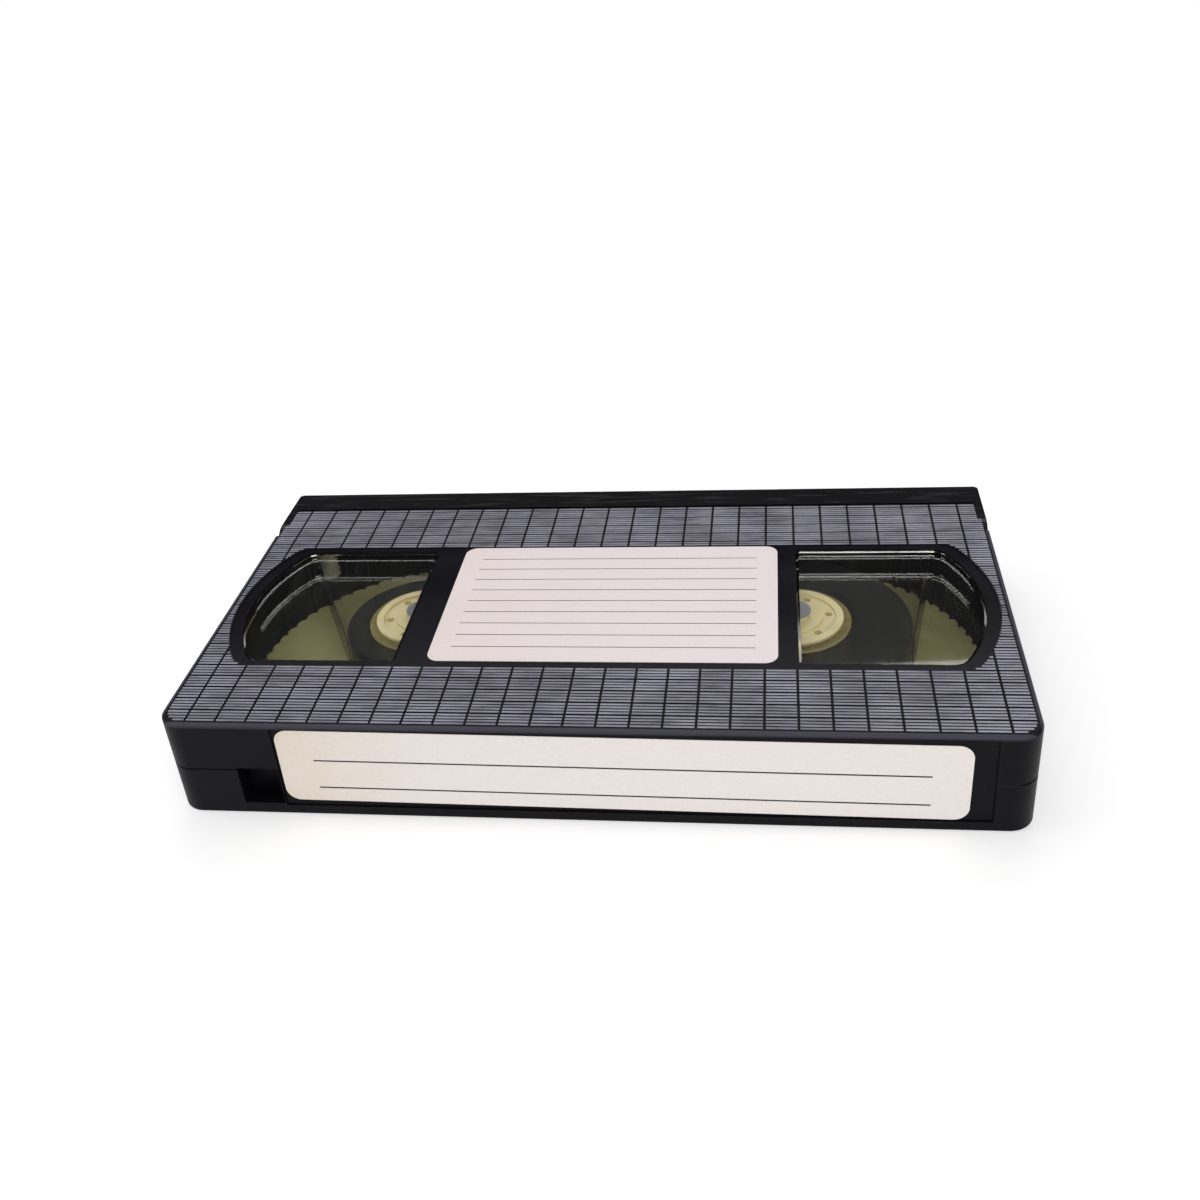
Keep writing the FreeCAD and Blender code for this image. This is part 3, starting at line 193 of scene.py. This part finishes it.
# Reels. Hub and toothed flange are one cream polystyrene moulding, with a leader clip of the
# same plastic. The thin flange is given a lighter, greener cream than the hub, as painted
# light on the one plastic.
REEL_CREAM = "#DED1A2"
REEL_FLANGE_PAINTED_LIGHT = "#E4DEAE"
REEL_SHADE = "#9A8C5A"
FLANGE_TOP = 4.3


def reel_plastic():
    """Cream polystyrene with faint flow marks, and painted light: a lighter, greener tone on the thin
    flange.
    """
    material, tree, main, place = start_material(
        "cream polystyrene, moulded", Specular_IOR_Level=0.5, IOR=1.59
    )
    height = add(tree, "ShaderNodeSeparateXYZ", {0: place}).outputs["Z"]
    # Painted light: below the flange top the same plastic gets a lighter, greener cream, blending into the
    # hub's cream over 6 mm.
    above = add(
        tree, "ShaderNodeMapRange",
        {"Value": height, "From Min": FLANGE_TOP * MM, "From Max": (FLANGE_TOP + 6) * MM},
    ).outputs[0]
    colour = add(
        tree, "ShaderNodeMix",
        {"Factor": above, 6: linear(REEL_FLANGE_PAINTED_LIGHT), 7: linear(REEL_CREAM)}, data_type="RGBA",
    ).outputs[2]
    flow = add(
        tree, "ShaderNodeTexNoise",
        {"Vector": place, "Scale": 1 / (9 * MM), "Detail": 4.0, "Distortion": 0.6},
    ).outputs[0]
    flow = add(
        tree, "ShaderNodeMapRange",
        {"Value": flow, "From Min": 0.4, "From Max": 0.8, "To Max": 0.35},
    ).outputs[0]
    colour = add(
        tree, "ShaderNodeMix", {"Factor": flow, 6: colour, 7: linear(REEL_SHADE)},
        data_type="RGBA",
    ).outputs[2]
    tree.links.new(colour, main.inputs["Base Color"])
    gloss = add(
        tree, "ShaderNodeMapRange", {"Value": flow, "From Max": 0.35, "To Min": 0.3, "To Max": 0.5}
    ).outputs[0]
    tree.links.new(gloss, main.inputs["Roughness"])
    return material


cream_plastic = reel_plastic()
dress(["supply_reel", "takeup_reel", "supply_hub_clamp", "takeup_hub_clamp"], cream_plastic)


# Clear pieces. The upper flanges and the windows are clear polystyrene, moulded between
# polished faces, with a few rub marks. Lamps shine through them on to the reels.
RUB_SPACING = 3.0


def clear_plastic(name, tint, rubs_and_sheen):
    """Clear polystyrene: glass to the eye, open to the light of lamps."""
    material, tree, main, place = start_material(
        name, IOR=1.5, Transmission_Weight=1.0, Specular_IOR_Level=0.12
    )
    main.inputs["Base Color"].default_value = linear(tint)
    stretched = add(
        tree, "ShaderNodeMapping", {"Vector": place, "Scale": (1.0, 0.12, 1.0)}
    ).outputs[0]
    rubs = add(
        tree, "ShaderNodeTexNoise",
        {"Vector": stretched, "Scale": 1 / (RUB_SPACING * MM), "Detail": 5.0},
    ).outputs[0]
    rubs = add(
        tree, "ShaderNodeMapRange",
        {"Value": rubs, "From Min": 0.55, "From Max": 0.75, "To Min": 0.02, "To Max": rubs_and_sheen},
    ).outputs[0]
    tree.links.new(rubs, main.inputs["Roughness"])
    lamp_ray = add(tree, "ShaderNodeLightPath").outputs["Is Shadow Ray"]
    open_way = add(tree, "ShaderNodeBsdfTransparent", {"Color": linear(tint)}).outputs[0]
    mixed = add(
        tree, "ShaderNodeMixShader", {0: lamp_ray, 1: main.outputs[0], 2: open_way}
    ).outputs[0]
    tree.links.new(mixed, tree.nodes["Material Output"].inputs["Surface"])
    return material


flange_clear = clear_plastic("clear polystyrene, reel flange", "#F4F4EC", 0.1)
window_clear = clear_plastic("clear polystyrene, window", "#F2F2F0", 0.08)
dress(["supply_clear_flange", "takeup_clear_flange"], flange_clear)
dress(["window_left", "window_right"], window_clear)


# Tape. Polyester film coated with dark oxide. Each pack shows the edges of its turns as fine
# rings, a little uneven where the winding pulled in, and the free tape is smooth and shiny.
TAPE_BLACK = "#08080F"
TAPE_EDGE_GREY = "#15151F"
TURN_SPACING = 0.55


def tape_edges(name, centre_x, centre_y):
    """Wound tape: rings about the reel's own axis."""
    material, tree, main, place = start_material(name, Specular_IOR_Level=0.2, IOR=1.6)
    centred = add(
        tree, "ShaderNodeMapping",
        {"Vector": place, "Location": (-centre_x, -centre_y, 0.0), "Scale": (1.0, 1.0, 0.0)},
    ).outputs[0]
    radius = add(
        tree, "ShaderNodeVectorMath", {0: centred}, operation="LENGTH"
    ).outputs["Value"]
    along = add(tree, "ShaderNodeCombineXYZ", {"X": radius}).outputs[0]
    rings = add(
        tree, "ShaderNodeTexNoise",
        {"Vector": along, "Scale": 1 / (TURN_SPACING * MM), "Detail": 6.0, "Roughness": 0.7},
    ).outputs[0]
    spread = add(
        tree, "ShaderNodeMapRange", {"Value": rings, "From Min": 0.35, "From Max": 0.7}
    ).outputs[0]
    colour = add(
        tree, "ShaderNodeMix",
        {"Factor": spread, 6: linear(TAPE_BLACK), 7: linear(TAPE_EDGE_GREY)},
        data_type="RGBA",
    ).outputs[2]
    tree.links.new(colour, main.inputs["Base Color"])
    gloss = add(
        tree, "ShaderNodeMapRange", {"Value": spread, "To Min": 0.25, "To Max": 0.45}
    ).outputs[0]
    tree.links.new(gloss, main.inputs["Roughness"])
    bump = add(
        tree, "ShaderNodeBump", {"Height": rings, "Strength": 0.5, "Distance": 0.06 * MM}
    ).outputs[0]
    tree.links.new(bump, main.inputs["Normal"])
    return material


for reel in ("supply", "takeup"):
    low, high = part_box(reel + "_reel")
    middle = (low + high) / 2
    wound = tape_edges(reel + " tape, wound", middle.x, middle.y)
    dress([reel + "_tape_pack"], wound)


def tape_film():
    """The free tape: one smooth dark band with faint lengthwise streaks."""
    material, tree, main, place = start_material(
        "oxide coated film", Specular_IOR_Level=0.25, IOR=1.6
    )
    streaks = add(
        tree, "ShaderNodeMapping", {"Vector": place, "Scale": (0.01, 0.01, 1.0)}
    ).outputs[0]
    streaks = add(
        tree, "ShaderNodeTexNoise", {"Vector": streaks, "Scale": 1 / (1.5 * MM), "Detail": 3.0}
    ).outputs[0]
    gloss = add(
        tree, "ShaderNodeMapRange", {"Value": streaks, "To Min": 0.12, "To Max": 0.3}
    ).outputs[0]
    tree.links.new(gloss, main.inputs["Roughness"])
    colour = add(
        tree, "ShaderNodeMix",
        {"Factor": streaks, 6: linear("#1C130E"), 7: linear("#2E2119")}, data_type="RGBA",
    ).outputs[2]
    tree.links.new(colour, main.inputs["Base Color"])
    return material


dress(["tape_span"], tape_film())


# Guides and levers. The roller, the brake pawls, the release and the lock lever are natural
# white acetal, waxy and slightly translucent.
def acetal():
    """Natural acetal: off-white, softly lit from within."""
    material, tree, main, place = start_material(
        "natural acetal, moulded", Specular_IOR_Level=0.5, IOR=1.48, Subsurface_Weight=0.15,
        Subsurface_Scale=0.5 * MM,
    )
    flow = add(
        tree, "ShaderNodeTexNoise", {"Vector": place, "Scale": 1 / (4 * MM), "Detail": 3.0}
    ).outputs[0]
    colour = add(
        tree, "ShaderNodeMix",
        {"Factor": flow, 6: linear("#E6E4DA"), 7: linear("#D6D2C4")}, data_type="RGBA",
    ).outputs[2]
    tree.links.new(colour, main.inputs["Base Color"])
    gloss = add(
        tree, "ShaderNodeMapRange", {"Value": flow, "To Min": 0.35, "To Max": 0.55}
    ).outputs[0]
    tree.links.new(gloss, main.inputs["Roughness"])
    return material


dress(
    ["guide_roller", "brake_pawl_left", "brake_pawl_right", "brake_release", "door_lock"],
    acetal(),
)


# Steel pieces. Ground stainless posts and pin, blued spring wire and strip, and zinc plated
# screws with a faint yellow passivation.
def steel(name, bright, dull, grind, roughness):
    """Steel with fine marks along the way it was ground, drawn or rolled."""
    material, tree, main, place = start_material(name, Metallic=1.0)
    marks = add(tree, "ShaderNodeMapping", {"Vector": place, "Scale": grind}).outputs[0]
    marks = add(
        tree, "ShaderNodeTexNoise", {"Vector": marks, "Scale": 1 / (0.6 * MM), "Detail": 4.0}
    ).outputs[0]
    colour = add(
        tree, "ShaderNodeMix", {"Factor": marks, 6: linear(bright), 7: linear(dull)},
        data_type="RGBA",
    ).outputs[2]
    tree.links.new(colour, main.inputs["Base Color"])
    gloss = add(
        tree, "ShaderNodeMapRange",
        {"Value": marks, "To Min": roughness * 0.7, "To Max": roughness * 1.4},
    ).outputs[0]
    tree.links.new(gloss, main.inputs["Roughness"])
    return material


dress(
    ["supply_guide_post", "takeup_guide_post", "roller_pin"],
    steel("stainless steel, ground", "#D8D8DA", "#B4B4B8", (1.0, 1.0, 0.05), 0.15),
)
dress(
    [
        "reel_spring", "door_spring", "lock_spring", "brake_spring_left", "brake_spring_right",
    ],
    steel("spring steel, rolled", "#A8A8AC", "#7E8088", (0.05, 1.0, 1.0), 0.28),
)
dress(
    ["shell_screws"],
    steel("zinc plated steel", "#C8C2A8", "#9A968A", (1.0, 1.0, 1.0), 0.35),
)


# Ribbed panel. Low ridges run along the cassette on every cell between the moulded grooves,
# four to a cell. They are the part seen first. Their grey is painted sheen on the black
# plastic, lighter and glossier in noise patches and in streaks along the ridges.
PANEL_RIM = 1.0
SPINE_RIM = 1.5
CORNER_R = 4.5
CELL_X = 7.0
CELL_Y = 4.18
GROOVE = 0.4
RIDGES = 4
RIDGE_BASE = 0.56
RIDGE_CREST = 0.26
RIDGE_END = 0.1
RIDGE_PITCH = 0.99
RIDGE_LOW = 24.83
RIDGE_TOP = 24.98
DOOR_TOP = 9.0
FIELD_HALF_Y = 26.25
FIELD_R = 46.0
FIELD_CORNER_R = 5.0
# Painted sheen colours for the ridges of the black plastic.
RIDGE_SHEEN_LIGHT = "#9897A6"
RIDGE_SHEEN_DARK = "#5D5C68"

shell_low, shell_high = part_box("upper_shell")
half_x = shell_high.x / MM
spine_y = shell_low.y / MM
reel_low, reel_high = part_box("takeup_reel")
reel_x = (reel_low.x + reel_high.x) / 2 / MM
reel_y = (reel_low.y + reel_high.y) / 2 / MM


def field_half_x(y):
    """Half length of the smooth field at one height of the panel, or none outside it."""
    rise = abs(y - reel_y)
    if rise >= FIELD_HALF_Y:
        return 0.0
    inner = FIELD_R - FIELD_CORNER_R
    corner_y = FIELD_HALF_Y - FIELD_CORNER_R
    corner_x = reel_x + math.sqrt(inner ** 2 - corner_y ** 2)
    if rise > corner_y * FIELD_R / inner:
        return corner_x + math.sqrt(FIELD_CORNER_R ** 2 - (rise - corner_y) ** 2)
    return reel_x + math.sqrt(FIELD_R ** 2 - rise ** 2)


def panel_half_x(y):
    """Half length of the ribbed panel, shorter in the rounded spine corners."""
    end = half_x - PANEL_RIM
    from_corner = spine_y + SPINE_RIM + CORNER_R - y
    if from_corner > 0:
        return end - CORNER_R + math.sqrt(max(CORNER_R ** 2 - from_corner ** 2, 0.0))
    return end


def ridge_spans(y):
    """The stretches of one ridge: cell by cell, left out where the smooth field lies."""
    spans = []
    outer = panel_half_x(y) - GROOVE / 2
    inner = field_half_x(y)
    cell = -0.5
    while cell * CELL_X < outer:
        start = max(cell * CELL_X + GROOVE / 2, inner + GROOVE / 2 if inner else -outer)
        end = min((cell + 1) * CELL_X - GROOVE / 2, outer)
        if end - start > GROOVE + 2 * RIDGE_END:
            start += RIDGE_END
            end -= RIDGE_END
            spans.append((start, end))
            if cell > 0:
                spans.append((-end, -start))
        cell += 1
    return spans


def ridge_lines(panel_end):
    """Points and edges of every ridge's centre line."""
    points, edges = [], []
    first = (CELL_Y - (RIDGES - 1) * RIDGE_PITCH) / 2
    row = spine_y + SPINE_RIM
    while row < panel_end:
        for i in range(RIDGES):
            y = row + first + i * RIDGE_PITCH
            if y < panel_end - RIDGE_PITCH / 2:
                for start, end in ridge_spans(y):
                    edges.append((len(points), len(points) + 1))
                    points.append((start * MM, y * MM, RIDGE_LOW * MM))
                    points.append((end * MM, y * MM, RIDGE_LOW * MM))
        row += CELL_Y
    return points, edges


def ridge_tree(material):
    """Nodes that give each line the ridge's section, with closed ends."""
    tree = bpy.data.node_groups.new("ridges", "GeometryNodeTree")
    tree.interface.new_socket("Lines", in_out="INPUT", socket_type="NodeSocketGeometry")
    for name in ("Base width", "Crest width", "Height"):
        tree.interface.new_socket(name, in_out="INPUT", socket_type="NodeSocketFloat")
    tree.interface.new_socket("Ridges", in_out="OUTPUT", socket_type="NodeSocketGeometry")
    given = add(tree, "NodeGroupInput").outputs
    section = add(
        tree, "GeometryNodeCurvePrimitiveQuadrilateral",
        {"Bottom Width": given["Base width"], "Top Width": given["Crest width"],
         "Height": given["Height"], "Offset": 0.0},
        mode="TRAPEZOID",
    ).outputs[0]
    lines = add(tree, "GeometryNodeMeshToCurve", {0: given["Lines"]}).outputs[0]
    upright = add(
        tree, "GeometryNodeSetCurveNormal", {"Curve": lines}, mode="Z_UP"
    ).outputs[0]
    solid = add(
        tree, "GeometryNodeCurveToMesh",
        {"Curve": upright, "Profile Curve": section, "Fill Caps": True},
    ).outputs[0]
    real = add(tree, "GeometryNodeRealizeInstances", {0: solid}).outputs[0]
    done = add(
        tree, "GeometryNodeSetMaterial", {"Geometry": real, "Material": material}
    ).outputs[0]
    out = add(tree, "NodeGroupOutput")
    tree.links.new(done, out.inputs[0])
    return tree


def grow(name, start, tree, sizes):
    """Run a node tree on a starting mesh and keep the result as a plain mesh object."""
    seed = bpy.data.objects.new(name, start)
    bpy.context.scene.collection.objects.link(seed)
    modifier = seed.modifiers.new(name, "NODES")
    modifier.node_group = tree
    for item in tree.interface.items_tree:
        if item.in_out == "INPUT" and item.name in sizes:
            modifier[item.identifier] = sizes[item.name]
    depsgraph = bpy.context.evaluated_depsgraph_get()
    grown = bpy.data.meshes.new_from_object(seed.evaluated_get(depsgraph))
    seed.modifiers.clear()
    seed.data = grown
    return seed


def ridge_sheen_plastic():
    """The shell's polystyrene on the ridges, coloured grey as painted sheen, lighter and glossier in
    patches and streaks.
    """
    material, tree, main, place = start_material(
        "black polystyrene, ridges with painted sheen", Specular_IOR_Level=0.5, IOR=1.59
    )
    # Painted sheen: noise patches and lengthwise streaks lighten the ridges' grey.
    rubs_and_sheen = add(
        tree, "ShaderNodeTexNoise", {"Vector": place, "Scale": 1 / (14 * MM), "Detail": 4.0}
    ).outputs[0]
    sheen_streak = add(
        tree, "ShaderNodeMapping", {"Vector": place, "Scale": (0.2, 1.2, 1.0)}
    ).outputs[0]
    sheen_streak = add(
        tree, "ShaderNodeTexNoise", {"Vector": sheen_streak, "Scale": 1 / (1.6 * MM), "Detail": 2.0}
    ).outputs[0]
    both = add(
        tree, "ShaderNodeMath", {0: rubs_and_sheen, 1: sheen_streak}, operation="ADD"
    ).outputs[0]
    sheen_share = add(
        tree, "ShaderNodeMapRange", {"Value": both, "From Min": 0.7, "From Max": 1.25}
    ).outputs[0]
    colour = add(
        tree, "ShaderNodeMix",
        {"Factor": sheen_share, 6: linear(RIDGE_SHEEN_DARK), 7: linear(RIDGE_SHEEN_LIGHT)}, data_type="RGBA",
    ).outputs[2]
    tree.links.new(colour, main.inputs["Base Color"])
    gloss = add(
        tree, "ShaderNodeMapRange", {"Value": sheen_share, "To Min": 0.42, "To Max": 0.26}
    ).outputs[0]
    tree.links.new(gloss, main.inputs["Roughness"])
    return material


points, edges = ridge_lines(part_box("door")[1].y / MM - DOOR_TOP)
lines = bpy.data.meshes.new("ridge lines")
lines.from_pydata(points, edges, [])
ridges = grow(
    "panel_ridges", lines, ridge_tree(ridge_sheen_plastic()),
    {
        "Base width": RIDGE_BASE * MM, "Crest width": RIDGE_CREST * MM,
        "Height": 2 * (RIDGE_TOP - RIDGE_LOW) * MM,
    },
)
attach(ridges, "root")


# Door. The same polystyrene in a polished tool, glossier than the shells.
def door_plastic():
    """Black polystyrene with a polished face and hairline rub marks."""
    material, tree, main, place = start_material(
        "black polystyrene, polished", Specular_IOR_Level=0.12, IOR=1.59
    )
    rubs = add(tree, "ShaderNodeMapping", {"Vector": place, "Scale": (0.08, 1.0, 1.0)}).outputs[0]
    rubs = add(
        tree, "ShaderNodeTexNoise", {"Vector": rubs, "Scale": 1 / (1.2 * MM), "Detail": 5.0}
    ).outputs[0]
    rubs = add(
        tree, "ShaderNodeMapRange", {"Value": rubs, "From Min": 0.5, "From Max": 0.8}
    ).outputs[0]
    colour = add(
        tree, "ShaderNodeMix",
        {"Factor": rubs, 6: linear("#0A090D"), 7: linear("#17161C")}, data_type="RGBA",
    ).outputs[2]
    tree.links.new(colour, main.inputs["Base Color"])
    gloss = add(
        tree, "ShaderNodeMapRange", {"Value": rubs, "To Min": 0.22, "To Max": 0.4}
    ).outputs[0]
    tree.links.new(gloss, main.inputs["Roughness"])
    return material


dress(["door"], door_plastic())


# Labels. Coated paper with a rolled-on adhesive, die cut with round corners. The face label
# has a lilac cast and ruled lines to write on, the spine label is warmer and aged at one end.
FACE_RULES = 9
FACE_RULE_FIRST = 5.5
FACE_RULE_GAP = 4.8
FACE_RULE_WIDTH = 0.25
FACE_INSET = 5.0
SPINE_RULES = (1.4, -6.2)
SPINE_RULE_WIDTH = 0.4
SPINE_INSET = 8.0
SPINE_TILT = 0.5


def label_paper(name, colour_hex, aged_hex, aged_from, aged_to, rules):
    """Coated paper: fibre mottle, ageing along the label, and printed rules."""
    material, tree, main, place = start_material(name, Specular_IOR_Level=0.35, IOR=1.5)
    axes = add(tree, "ShaderNodeSeparateXYZ", {0: place}).outputs
    fibres = add(
        tree, "ShaderNodeTexNoise", {"Vector": place, "Scale": 1 / (0.8 * MM), "Detail": 5.0}
    ).outputs[0]
    cloud = add(
        tree, "ShaderNodeTexNoise", {"Vector": place, "Scale": 1 / (25 * MM), "Detail": 2.0}
    ).outputs[0]
    aged = add(
        tree, "ShaderNodeMapRange",
        {"Value": axes["X"], "From Min": aged_from * MM, "From Max": aged_to * MM,
         "To Min": 1.0, "To Max": 0.0},
    ).outputs[0]
    aged = add(
        tree, "ShaderNodeMath", {0: aged, 1: cloud}, operation="MULTIPLY"
    ).outputs[0]
    colour = add(
        tree, "ShaderNodeMix", {"Factor": aged, 6: linear(colour_hex), 7: linear(aged_hex)},
        data_type="RGBA",
    ).outputs[2]
    mottle = add(
        tree, "ShaderNodeMapRange", {"Value": fibres, "To Min": 0.93, "To Max": 1.05}
    ).outputs[0]
    colour = add(
        tree, "ShaderNodeVectorMath", {0: colour, "Scale": mottle}, operation="SCALE"
    ).outputs[0]
    ink = rules(tree, axes)
    colour = add(
        tree, "ShaderNodeMix", {"Factor": ink, 6: colour, 7: linear("#2A2730")},
        data_type="RGBA",
    ).outputs[2]
    tree.links.new(colour, main.inputs["Base Color"])
    gloss = add(
        tree, "ShaderNodeMapRange", {"Value": fibres, "To Min": 0.42, "To Max": 0.6}
    ).outputs[0]
    tree.links.new(gloss, main.inputs["Roughness"])
    bump = add(
        tree, "ShaderNodeBump", {"Height": fibres, "Strength": 0.2, "Distance": 0.02 * MM}
    ).outputs[0]
    tree.links.new(bump, main.inputs["Normal"])
    return material


def band(tree, value, low, high):
    """One where a value lies between two lengths in millimetres."""
    middle = (low + high) / 2 * MM
    return add(
        tree, "ShaderNodeMath", {0: value, 1: middle, 2: (high - low) / 2 * MM},
        operation="COMPARE",
    ).outputs[0]


def face_rules(tree, axes):
    """Thin writing lines, inset from the label's sides."""
    low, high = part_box("face_label")
    first = low.y / MM + FACE_RULE_FIRST
    ink = band(tree, axes["Y"], first, first + FACE_RULE_WIDTH)
    for i in range(1, FACE_RULES):
        y = first + i * FACE_RULE_GAP
        line = band(tree, axes["Y"], y, y + FACE_RULE_WIDTH)
        ink = add(tree, "ShaderNodeMath", {0: ink, 1: line}, operation="MAXIMUM").outputs[0]
    inset = band(tree, axes["X"], low.x / MM + FACE_INSET, high.x / MM - FACE_INSET)
    return add(tree, "ShaderNodeMath", {0: ink, 1: inset}, operation="MULTIPLY").outputs[0]


def spine_rules(tree, axes):
    """Two writing lines, tilted with the label."""
    low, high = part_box("spine_label")
    tilt = math.tan(math.radians(SPINE_TILT))
    middle = (low.z + high.z) / 2 / MM
    height = add(
        tree, "ShaderNodeMath", {0: axes["X"], 1: tilt, 2: axes["Z"]}, operation="MULTIPLY_ADD"
    ).outputs[0]
    shift = (low.x + high.x) / 2 / MM * tilt
    upper, lower = (
        band(tree, height, middle + shift + rise, middle + shift + rise + SPINE_RULE_WIDTH)
        for rise in SPINE_RULES
    )
    ink = add(tree, "ShaderNodeMath", {0: upper, 1: lower}, operation="MAXIMUM").outputs[0]
    inset = band(tree, axes["X"], low.x / MM + SPINE_INSET, high.x / MM - SPINE_INSET)
    return add(tree, "ShaderNodeMath", {0: ink, 1: inset}, operation="MULTIPLY").outputs[0]


dress(
    ["face_label"],
    label_paper("coated paper, face label", "#E9DEDF", "#E0D2CC", -38, 20, face_rules),
)
dress(
    ["spine_label"],
    label_paper("coated paper, spine label", "#ECE4E0", "#DCCBA8", -68, -35, spine_rules),
)


# Floor, lamps and camera. A plain pale floor under a soft sky, pale at the horizon, darker
# behind the cassette and bright above. One large lamp stands high behind, one in front.
FLOOR_HALF = 4000.0
FLOOR_LIFT = 0.32
FLOOR_NEAR = 150.0
FLOOR_FAR = 380.0
SKY_STOPS = [(0.0, 1.0), (0.22, 1.0), (0.32, 0.04), (0.62, 0.04), (0.78, 0.6), (1.0, 0.8)]
LAMP_BACK = 1.3
LAMP_FRONT = 2.4
LAMP_SIDE = 0.9

floor_mesh = bpy.data.meshes.new("floor")
reach = FLOOR_HALF * MM
floor_mesh.from_pydata(
    [(-reach, -reach, 0), (reach, -reach, 0), (reach, reach, 0), (-reach, reach, 0)],
    [], [(0, 1, 2, 3)],
)
floor = bpy.data.objects.new("floor", floor_mesh)
bpy.context.scene.collection.objects.link(floor)
material, tree, main, place = start_material("pale floor", Roughness=0.9, Specular_IOR_Level=0.0)
speck = add(tree, "ShaderNodeTexNoise", {"Vector": place, "Scale": 1 / (60 * MM)}).outputs[0]
colour = add(
    tree, "ShaderNodeMix", {"Factor": speck, 6: linear("#E9E9E9"), 7: linear("#E6E6E6")},
    data_type="RGBA",
).outputs[2]
away = add(tree, "ShaderNodeVectorMath", {0: place}, operation="LENGTH").outputs["Value"]
away = add(
    tree, "ShaderNodeMapRange",
    {"Value": away, "From Min": FLOOR_NEAR * MM, "From Max": FLOOR_FAR * MM},
).outputs[0]
colour = add(
    tree, "ShaderNodeMix", {"Factor": away, 6: colour, 7: linear("#000000")}, data_type="RGBA",
).outputs[2]
tree.links.new(colour, main.inputs["Base Color"])
seen = add(tree, "ShaderNodeLightPath").outputs
eye = add(
    tree, "ShaderNodeMath", {0: seen["Is Camera Ray"], 1: seen["Is Transmission Ray"]},
    operation="MAXIMUM",
).outputs[0]
eye = add(
    tree, "ShaderNodeMath", {0: eye, 1: seen["Is Glossy Ray"]}, operation="MAXIMUM"
).outputs[0]
lift = add(
    tree, "ShaderNodeMapRange", {"Value": away, "To Min": FLOOR_LIFT, "To Max": 1.0}
).outputs[0]
lift = add(tree, "ShaderNodeMath", {0: eye, 1: lift}, operation="MULTIPLY").outputs[0]
main.inputs["Emission Color"].default_value = linear("#FFFFFF")
tree.links.new(lift, main.inputs["Emission Strength"])
floor_mesh.materials.append(material)

world = bpy.data.worlds.new("sky")
bpy.context.scene.world = world
world.use_nodes = True
tree = world.node_tree
heading = add(tree, "ShaderNodeTexCoord").outputs["Generated"]
rise = add(tree, "ShaderNodeSeparateXYZ", {0: heading}).outputs["Z"]
ramp = add(tree, "ShaderNodeValToRGB", {"Fac": rise})
stops = ramp.color_ramp.elements
while len(stops) < len(SKY_STOPS):
    stops.new(0.5)
for stop, (height, level) in zip(stops, SKY_STOPS):
    stop.position = height
    stop.color = (level, level, level, 1.0)
tree.links.new(ramp.outputs[0], tree.nodes["Background"].inputs["Color"])


def soft_lamp(name, place, aim, width, height, power):
    """A soft rectangular lamp aimed at a point."""
    data = bpy.data.lights.new(name, "AREA")
    data.shape = "RECTANGLE"
    data.size = width * MM
    data.size_y = height * MM
    data.energy = power
    lamp = bpy.data.objects.new(name, data)
    bpy.context.scene.collection.objects.link(lamp)
    here = Vector(place) * MM
    lamp.location = here
    lamp.rotation_euler = (Vector(aim) * MM - here).to_track_quat("-Z", "Y").to_euler()


soft_lamp("back lamp", (-40, 420, 520), (0, 0, 10), 700, 260, LAMP_BACK)
soft_lamp("front lamp", (150, -560, 420), (0, 0, 10), 500, 400, LAMP_FRONT)
soft_lamp("side lamp", (-560, -60, 400), (0, 0, 10), 400, 400, LAMP_SIDE)

CAMERA_AZIMUTH = -10.12
CAMERA_ELEVATION = 30.59
CAMERA_DISTANCE = 356.0
CAMERA_ROLL = -5.59
CAMERA_TARGET = (-12.6, 45.1, 12.0)
FOCAL_PIXELS = 1276.2
CENTRE_PIXEL = (581.4, 544.6)
IMAGE_PIXELS = 1200

azimuth = math.radians(CAMERA_AZIMUTH)
elevation = math.radians(CAMERA_ELEVATION)
roll = math.radians(CAMERA_ROLL)
ahead = Vector((
    math.sin(azimuth) * math.cos(elevation), math.cos(azimuth) * math.cos(elevation),
    -math.sin(elevation),
))
level = Vector((math.cos(azimuth), -math.sin(azimuth), 0))
above = level.cross(ahead)
right = math.cos(roll) * level + math.sin(roll) * above
upward = -math.sin(roll) * level + math.cos(roll) * above
eye_place = Vector(CAMERA_TARGET) * MM - ahead * CAMERA_DISTANCE * MM
camera_data = bpy.data.cameras.new("camera")
camera_data.angle = 2 * math.atan(IMAGE_PIXELS / 2 / FOCAL_PIXELS)
camera_data.shift_x = (IMAGE_PIXELS / 2 - CENTRE_PIXEL[0]) / IMAGE_PIXELS
camera_data.shift_y = (CENTRE_PIXEL[1] - IMAGE_PIXELS / 2) / IMAGE_PIXELS
camera_data.clip_start = 10 * MM
camera = bpy.data.objects.new("camera", camera_data)
bpy.context.scene.collection.objects.link(camera)
turn = Matrix((right, upward, -ahead)).transposed()
camera.matrix_world = Matrix.Translation(eye_place) @ turn.to_4x4()
bpy.context.scene.camera = camera
bpy.context.scene.view_settings.view_transform = "Standard"
